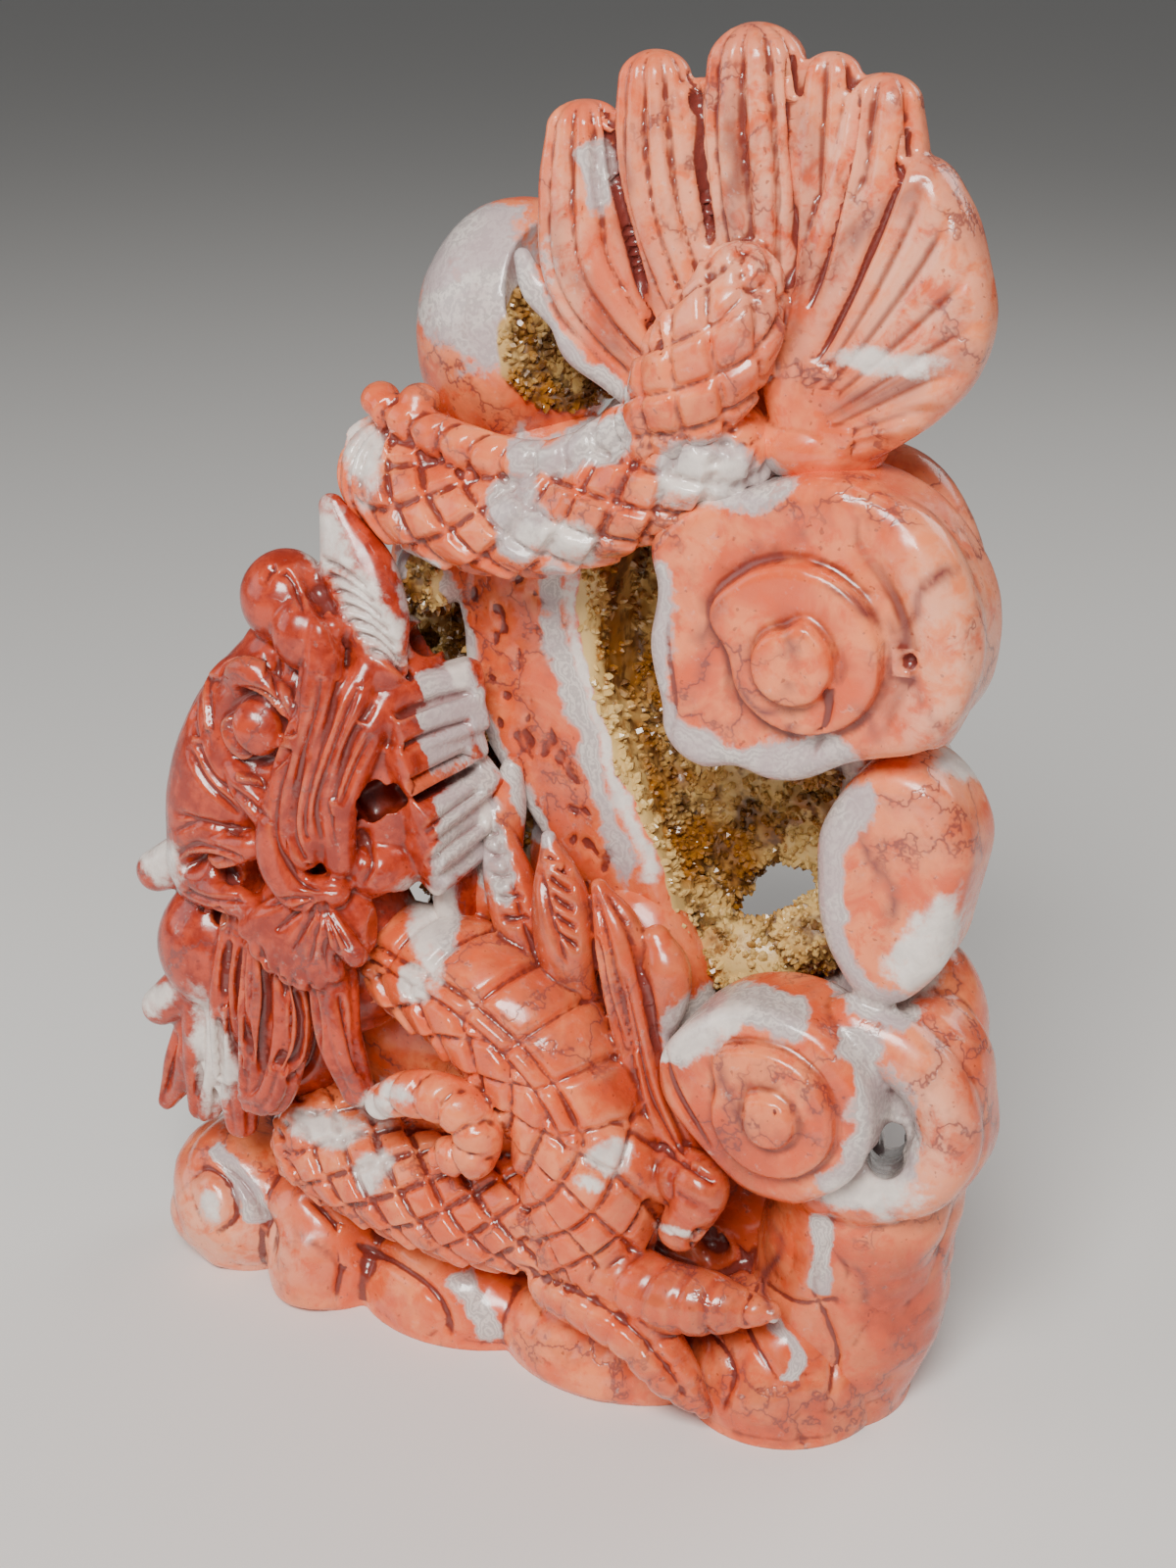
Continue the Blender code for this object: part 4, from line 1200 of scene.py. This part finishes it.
@functools.cache
def stone_material(colours):
    material, tree, shader = new_material("banded_agate")
    place = object_place(tree)
    mottle = noise(tree, place, 0.1, 4.0, 0.62, 0.6)
    clouds = noise(tree, place, 0.32, 4.0, 0.65, 0.4)
    # lit: the light zone broken up by clouds, where peach paints the paler tone together with painted
    # highlight and glow
    lit = sums(tree, "MULTIPLY", zone(tree, "light"), remap(tree, clouds, 0.34, 0.6))
    salmon = layered(tree, colours.salmon, (
        (remap(tree, mottle, 0.38, 0.64), colours.pale),
        (remap(tree, clouds, 0.48, 0.66, 0.0, 0.8), colours.orange),
        (lit, colours.peach),
    ))
    brick = mix(tree, remap(tree, clouds, 0.36, 0.64), colours.brick, colours.head_red)

    vein, halo = vein_shares(tree, place)
    flecks = remap(tree, noise(tree, place, 0.55, 3.0, 0.7), 0.62, 0.72)
    specks = remap(tree, noise(tree, place, 1.1, 1.0, 0.6), 0.7, 0.75, 0.0, 0.5)
    streaks = sums(tree, "MULTIPLY", zone(tree, "stain"), remap(tree, mottle, 0.35, 0.6, 0.3, 0.8))
    cut, fold = zone(tree, "cut"), zone(tree, "fold")
    grey_share = frayed(tree, place, "grey", 0.22, 0.65, 0.24)
    rings = sums(tree, "SINE", sums(tree, "MULTIPLY", grey_share, 30.0))
    band = mix(tree, remap(tree, rings, -1.0, 1.0, 0.0, 0.5), colours.grey, colours.white)
    band = mix(tree, remap(tree, mottle, 0.4, 0.6, 0.0, 0.7), band, colours.lavender)
    white_share = frayed(tree, place, "white", 0.3, 0.7, 0.3)
    milky = mix(tree, remap(tree, clouds, 0.3, 0.7, 0.0, 0.5), colours.white, colours.grey)
    crust, grains = crust_outputs(tree, colours)
    hollow = remap(tree, zone(tree, "hollow"), 0.3, 0.6)
    stone = layered(tree, salmon, (
        (zone(tree, "red"), brick),
        (halo, colours.vein),
        (streaks, colours.vein),
        (sums(tree, "MULTIPLY", vein, 0.8), colours.vein),
        (sums(tree, "MULTIPLY", flecks, 0.16), colours.white),
        (specks, colours.shade),
        # Painted shade: cuts and broad creases darkened towards the shade colour by how deep they lie
        (remap(tree, cut, 0.51, 0.7, 0.0, 0.88), colours.shade),
        (remap(tree, fold, 0.52, 0.9, 0.0, 0.75), colours.shade),
        # Painted highlight: the raised edges between cuts lightened towards pale
        (remap(tree, cut, 0.44, 0.2, 0.0, 0.25), colours.pale),
        (remap(tree, grey_share, 0.32, 0.64), band),
        (remap(tree, white_share, 0.2, 0.95), milky),
        # Painted shade: the deepest cuts darkened once more with the vein colour, over the bands and
        # white
        (remap(tree, cut, 0.54, 0.85, 0.0, 0.5), colours.vein),
        (hollow, crust),
    ))

    polish = remap(tree, noise(tree, place, 0.5, 2.0), 0.3, 0.7, 0.16, 0.32)
    height = sums(tree, "ADD", sums(tree, "MULTIPLY", grains, sums(tree, "ADD", hollow, 0.12)),
                  sums(tree, "MULTIPLY", vein, -0.3))
    bump = tree.nodes.new("ShaderNodeBump")
    feed(tree, bump, {"Strength": 0.25, "Distance": 0.0004, "Height": height})
    feed(tree, shader, {
        "Base Color": stone, "Roughness": mix(tree, hollow, polish, 0.45, kind="FLOAT"),
        "Coat Weight": 0.2, "Coat Roughness": 0.06, "IOR": 1.54, "Normal": bump.outputs["Normal"],
    })
    return material


def crystal_material(colours):
    material, tree, shader = new_material("druzy_quartz")
    crust, grains = crust_outputs(tree, colours)
    shine = remap(tree, grains, 0.3, 0.7, 0.12, 0.4)
    feed(tree, shader, {"Base Color": crust, "Roughness": shine, "Coat Weight": 0.3})
    return material


def colour_setting(name, description, value):
    return bpy.props.FloatVectorProperty(
        name=name, description=description, subtype="COLOR", size=3, min=0.0, max=1.0,
        default=value,
    )


class DragonStoneSettings(bpy.types.PropertyGroup):
    grain: bpy.props.FloatProperty(
        name="Grain", description="Size of the cells the carving is fused in, in millimetres",
        default=0.34, min=0.3, max=1.5,
    )
    line_depth: bpy.props.FloatProperty(
        name="Line depth", description="How deep the drawn lines are cut, where 1 is as designed",
        default=1.0, min=0.0, max=2.0,
    )
    crystals: bpy.props.IntProperty(
        name="Crystals", description="How many crystals grow in the hollows", default=5000,
        min=0, max=7000,
    )


class DragonColourSettings(bpy.types.PropertyGroup):
    salmon: colour_setting("Salmon", "Main colour of the agate", (0.72, 0.1, 0.03))
    # pale: light mottling of the agate, also the painted highlight on raised edges
    pale: colour_setting("Pale", "Light mottling in the agate", (0.92, 0.24, 0.09))
    # peach: laid over the light zone, the stone's paler tone there together with painted highlight and
    # glow
    peach: colour_setting("Peach", "Palest parts of the fan and clouds", (0.95, 0.44, 0.27))
    orange: colour_setting("Orange", "Warm clouds in the agate", (0.76, 0.09, 0.018))
    brick: colour_setting("Brick", "Dark red of the head and claws", (0.3, 0.022, 0.008))
    head_red: colour_setting("Head red", "Lighter red of the head", (0.52, 0.055, 0.02))
    # vein: the veins' own colour, also painted shade in the deepest cuts
    vein: colour_setting("Vein", "Thin purple-brown veins", (0.2, 0.05, 0.045))
    white: colour_setting("White", "White chalcedony", (0.86, 0.77, 0.7))
    grey: colour_setting("Grey", "Grey bands by the hollows", (0.46, 0.4, 0.38))
    lavender: colour_setting("Lavender", "Cool tint in the bands", (0.46, 0.34, 0.35))
    # shade: painted shade for the cuts and creases, also the colour of the small dark specks
    shade: colour_setting("Shade", "Wax and shade in the cuts", (0.14, 0.012, 0.005))
    druse: colour_setting("Druse", "Yellow-brown crystals", (0.34, 0.13, 0.015))
    druse_dark: colour_setting("Dark druse", "Brown stain in the hollows", (0.09, 0.03, 0.006))
    cream: colour_setting("Cream", "Pale crystals", (0.66, 0.45, 0.16))


class DragonStageSettings(bpy.types.PropertyGroup):
    floor_colour: colour_setting("Floor", "Colour of the plain floor", (0.8, 0.79, 0.77))
    key_power: bpy.props.FloatProperty(
        name="Key light", description="Power of the main soft light, in watts", default=8.5,
        min=0.0, max=200.0, unit="POWER",
    )
    fill_power: bpy.props.FloatProperty(
        name="Fill light", description="Power of the second soft light, in watts", default=1.3,
        min=0.0, max=200.0, unit="POWER",
    )
    sky: bpy.props.FloatProperty(
        name="Room light", description="Strength of the even light from all round", default=0.13,
        min=0.0, max=3.0,
    )


def carve(context, name, forms, grain, faces, hollows=None, redness=0.0, rugged=0.0):
    """Carves one piece of the stone: fuses its forms in cells of grain, cuts its hollows, moves its
    surface to the drawn lines, and keeps about faces triangles."""
    settings = context.scene.dragon_stone
    grain *= settings.grain * 1.0
    rough = Rough()
    for form in forms:
        form(rough)
    stone = fused(rough, grain)
    if hollows:
        freeze(stone)
        cutters = Rough()
        hollows(cutters)
        cutter = fused(cutters, grain)
        freeze(cutter)
        cut = stone.modifiers.new("hollows", "BOOLEAN")
        cut.operation = "DIFFERENCE"
        cut.solver = "FAST"
        cut.object = cutter
        freeze(stone)
        bpy.data.objects.remove(cutter, do_unlink=True)
        fuse(stone, grain)
    polish = stone.modifiers.new("polish", "SMOOTH")
    polish.factor = 0.5
    polish.iterations = 1
    freeze(stone)
    mesh = stone.data
    drop_crumbs(mesh)
    relieve(mesh, settings.line_depth, forms[0] is head, rugged)
    triangles = sum(len(face.vertices) - 2 for face in mesh.polygons)
    thin = stone.modifiers.new("thin", "DECIMATE")
    thin.ratio = min(1.0, faces / triangles)
    freeze(stone)
    mesh = stone.data
    if min(vertex.co.z for vertex in mesh.vertices) < 0.0:
        stand_flat(mesh)
    write_masks(mesh, redness, has_druse=hollows is wall_hollows)
    mesh.transform(Matrix.Scale(UNIT, 4))
    mesh.polygons.foreach_set("use_smooth", [True] * len(mesh.polygons))
    mesh.materials.clear()
    mesh.materials.append(stone_material(context.scene.dragon_colours))
    stone.name = mesh.name = name
    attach(stone, "root")
    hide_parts(STONE_NODE)


class DRAGON_OT_carve_base(bpy.types.Operator):
    """Carves the rock and low clouds that the dragon stands on"""

    bl_idname = "dragon.carve_base"
    bl_label = "Carve the base"

    def execute(self, context):
        carve(context, "rock_base", (base_rock,), grain=1.5, faces=78000, rugged=1.0)
        return {"FINISHED"}


class DRAGON_OT_carve_wall(bpy.types.Operator):
    """Carves the geode's wall, its upright band, the nodule and the clouds on the back"""

    bl_idname = "dragon.carve_wall"
    bl_label = "Carve the geode's wall"

    def execute(self, context):
        carve(context, WALL_PIECE, (geode_wall, column, nodule, back_clouds), grain=1.3,
              faces=164000, hollows=wall_hollows)
        return {"FINISHED"}


class DRAGON_OT_carve_clouds(bpy.types.Operator):
    """Carves the scrolled clouds up the right side"""

    bl_idname = "dragon.carve_clouds"
    bl_label = "Carve the scrolled clouds"

    def execute(self, context):
        carve(context, "cloud_scrolls", (right_clouds,), grain=1.3, faces=110000,
              hollows=scroll_hollows, rugged=1.0)
        return {"FINISHED"}


class DRAGON_OT_carve_head(bpy.types.Operator):
    """Carves the dragon's head, mane and beard"""

    bl_idname = "dragon.carve_head"
    bl_label = "Carve the head"

    def execute(self, context):
        carve(context, "dragon_head", (head, mane, cheek_fin, beard), grain=1.0, faces=190000,
              hollows=mane_hollows, redness=1.0)
        return {"FINISHED"}


class DRAGON_OT_carve_body(bpy.types.Operator):
    """Carves the scaled body, its coils and claws"""

    bl_idname = "dragon.carve_body"
    bl_label = "Carve the body"

    def execute(self, context):
        carve(context, "dragon_body", (body, legs, top_coil), grain=1.0, faces=190000)
        return {"FINISHED"}


class DRAGON_OT_carve_tail(bpy.types.Operator):
    """Carves the fan of petals at the end of the tail"""

    bl_idname = "dragon.carve_tail"
    bl_label = "Carve the tail fan"

    def execute(self, context):
        carve(context, "tail_fan", (tail_fan,), grain=1.1, faces=140000)
        return {"FINISHED"}


def one_crystal():
    """A five-sided quartz point, one millimetre wide."""
    shell = bmesh.new()
    bmesh.ops.create_cone(shell, cap_ends=True, segments=5, radius1=0.5, radius2=0.42, depth=1.0)
    top = [face for face in shell.faces if face.calc_center_median().z > 0.4]
    raised = bmesh.ops.extrude_face_region(shell, geom=top)["geom"]
    raised = [item for item in raised if isinstance(item, bmesh.types.BMVert)]
    bmesh.ops.translate(shell, verts=raised, vec=(0, 0, 0.45))
    bmesh.ops.scale(shell, verts=raised, vec=(0.2, 0.2, 1.0))
    bmesh.ops.delete(shell, geom=[face for face in top if face.is_valid], context="FACES_ONLY")
    bmesh.ops.recalc_face_normals(shell, faces=shell.faces)
    return as_mesh(shell, "crystal")


class DRAGON_OT_grow_crystals(bpy.types.Operator):
    """Grows small quartz crystals over the walls of the geode's hollows"""

    bl_idname = "dragon.grow_crystals"
    bl_label = "Grow the crystals"

    def execute(self, context):
        wall = bpy.data.objects[WALL_PIECE].data
        places, outward = vertex_rows(wall)
        places = places / UNIT
        hollow, cream = np.empty((2, len(places)))
        wall.attributes["hollow"].data.foreach_get("value", hollow)
        wall.attributes["cream"].data.foreach_get("value", cream)
        chooser = np.random.default_rng(CRYSTAL_SEED)
        eligible = np.flatnonzero((hollow > CRYSTAL_ZONE) & (outward[:, 1] < CRYSTAL_FACING))
        count = min(context.scene.dragon_stone.crystals, len(eligible))
        chosen = chooser.choice(eligible, size=count, replace=False)
        crystal = one_crystal()
        cluster = bmesh.new()
        for group in np.array_split(chosen, max(1, count // CRYSTAL_GROUP)):
            part = bmesh.new()
            for index in group:
                lean = Vector(outward[index]) + Vector(chooser.normal(0, 0.4, 3))
                placed = (
                    Matrix.Translation(Vector(places[index]))
                    @ lean.to_track_quat("Z", "Y").to_matrix().to_4x4()
                    @ Matrix.Rotation(chooser.uniform(0, 2 * math.pi), 4, "Z")
                    @ Matrix.Scale(chooser.uniform(*CRYSTAL_SIZES), 4)
                )
                before = len(part.verts)
                part.from_mesh(crystal)
                bmesh.ops.transform(part, matrix=placed, verts=part.verts[before:])
            gather(cluster, part)
        mesh = as_mesh(cluster, CRYSTAL_PIECE)
        layer = mesh.attributes.new("cream", "FLOAT", "POINT")
        layer.data.foreach_set("value", np.repeat(cream[chosen], len(crystal.vertices)))
        bpy.data.meshes.remove(crystal)
        mesh.transform(Matrix.Scale(UNIT, 4))
        mesh.materials.append(crystal_material(context.scene.dragon_colours))
        piece = in_scene(CRYSTAL_PIECE, mesh)
        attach(piece, "root")
        return {"FINISHED"}


def soft_light(name, place, size, power, colour):
    data = bpy.data.lights.new(name, "AREA")
    data.shape = "RECTANGLE"
    data.size, data.size_y = size
    data.energy = power
    data.color = colour
    light = in_scene(name, data)
    light.location = place
    light.rotation_euler = (LIGHT_TARGET - Vector(place)).to_track_quat("-Z", "Y").to_euler()


class DRAGON_OT_set_stage(bpy.types.Operator):
    """Sets the plain floor, the soft lights and the camera"""

    bl_idname = "dragon.set_stage"
    bl_label = "Set the stage"

    def execute(self, context):
        settings = context.scene.dragon_stage
        ground = bmesh.new()
        bmesh.ops.create_grid(ground, x_segments=8, y_segments=8, size=4.0)
        floor = in_scene("floor", as_mesh(ground, "floor"))
        material, tree, shader = new_material("plain_floor")
        feed(tree, shader, {"Base Color": settings.floor_colour, "Roughness": 0.7})
        floor.data.materials.append(material)

        for light in (
            ("key", (0.15, -0.55, 0.6), (0.35, 0.25), settings.key_power, (1.0, 0.97, 0.93)),
            ("fill", (-0.6, -0.35, 0.35), (0.5, 0.5), settings.fill_power, (0.95, 0.97, 1.0)),
            ("rim", (0.35, 0.5, 0.5), (0.4, 0.3), settings.fill_power, (1.0, 0.98, 0.95)),
        ):
            soft_light(*light)
        world = bpy.data.worlds.new("room")
        world.use_nodes = True
        feed(world.node_tree, world.node_tree.nodes["Background"],
             {"Color": (1, 1, 1), "Strength": settings.sky})
        context.scene.world = world

        data = bpy.data.cameras.new("view")
        data.lens = CAMERA_LENS
        camera = in_scene("view", data)
        camera.location = Vector(CAMERA_PLACE) * UNIT
        camera.rotation_euler = (math.pi / 2 - CAMERA_TILT, 0.0, CAMERA_TURN)
        context.scene.camera = camera
        return {"FINISHED"}


class DRAGON_PT_panel(bpy.types.Panel):
    """Lists the steps and settings of the agate dragon"""

    bl_idname = "DRAGON_PT_panel"
    bl_label = "Agate dragon"
    bl_space_type = "VIEW_3D"
    bl_region_type = "UI"
    bl_category = "Agate dragon"

    def draw(self, context):
        layout = self.layout
        for group in (context.scene.dragon_stone, context.scene.dragon_colours,
                      context.scene.dragon_stage):
            box = layout.box()
            for name in group.__annotations__:
                box.prop(group, name)
        for step in STEPS:
            layout.operator(step.bl_idname)


STEPS = (
    DRAGON_OT_carve_base, DRAGON_OT_carve_wall, DRAGON_OT_carve_clouds, DRAGON_OT_carve_head,
    DRAGON_OT_carve_body, DRAGON_OT_carve_tail, DRAGON_OT_grow_crystals, DRAGON_OT_set_stage,
)
SETTINGS = (
    ("dragon_stone", DragonStoneSettings),
    ("dragon_colours", DragonColourSettings),
    ("dragon_stage", DragonStageSettings),
)


def register():
    for name, group in SETTINGS:
        bpy.utils.register_class(group)
        setattr(bpy.types.Scene, name, bpy.props.PointerProperty(type=group))
    for step in STEPS:
        bpy.utils.register_class(step)
    bpy.utils.register_class(DRAGON_PT_panel)


def unregister():
    bpy.utils.unregister_class(DRAGON_PT_panel)
    for step in reversed(STEPS):
        bpy.utils.unregister_class(step)
    for name, group in reversed(SETTINGS):
        delattr(bpy.types.Scene, name)
        bpy.utils.unregister_class(group)


def main():
    register()
    for step in STEPS:
        group, name = step.bl_idname.split(".")
        getattr(getattr(bpy.ops, group), name)()


if __name__ == "__main__":
    main()
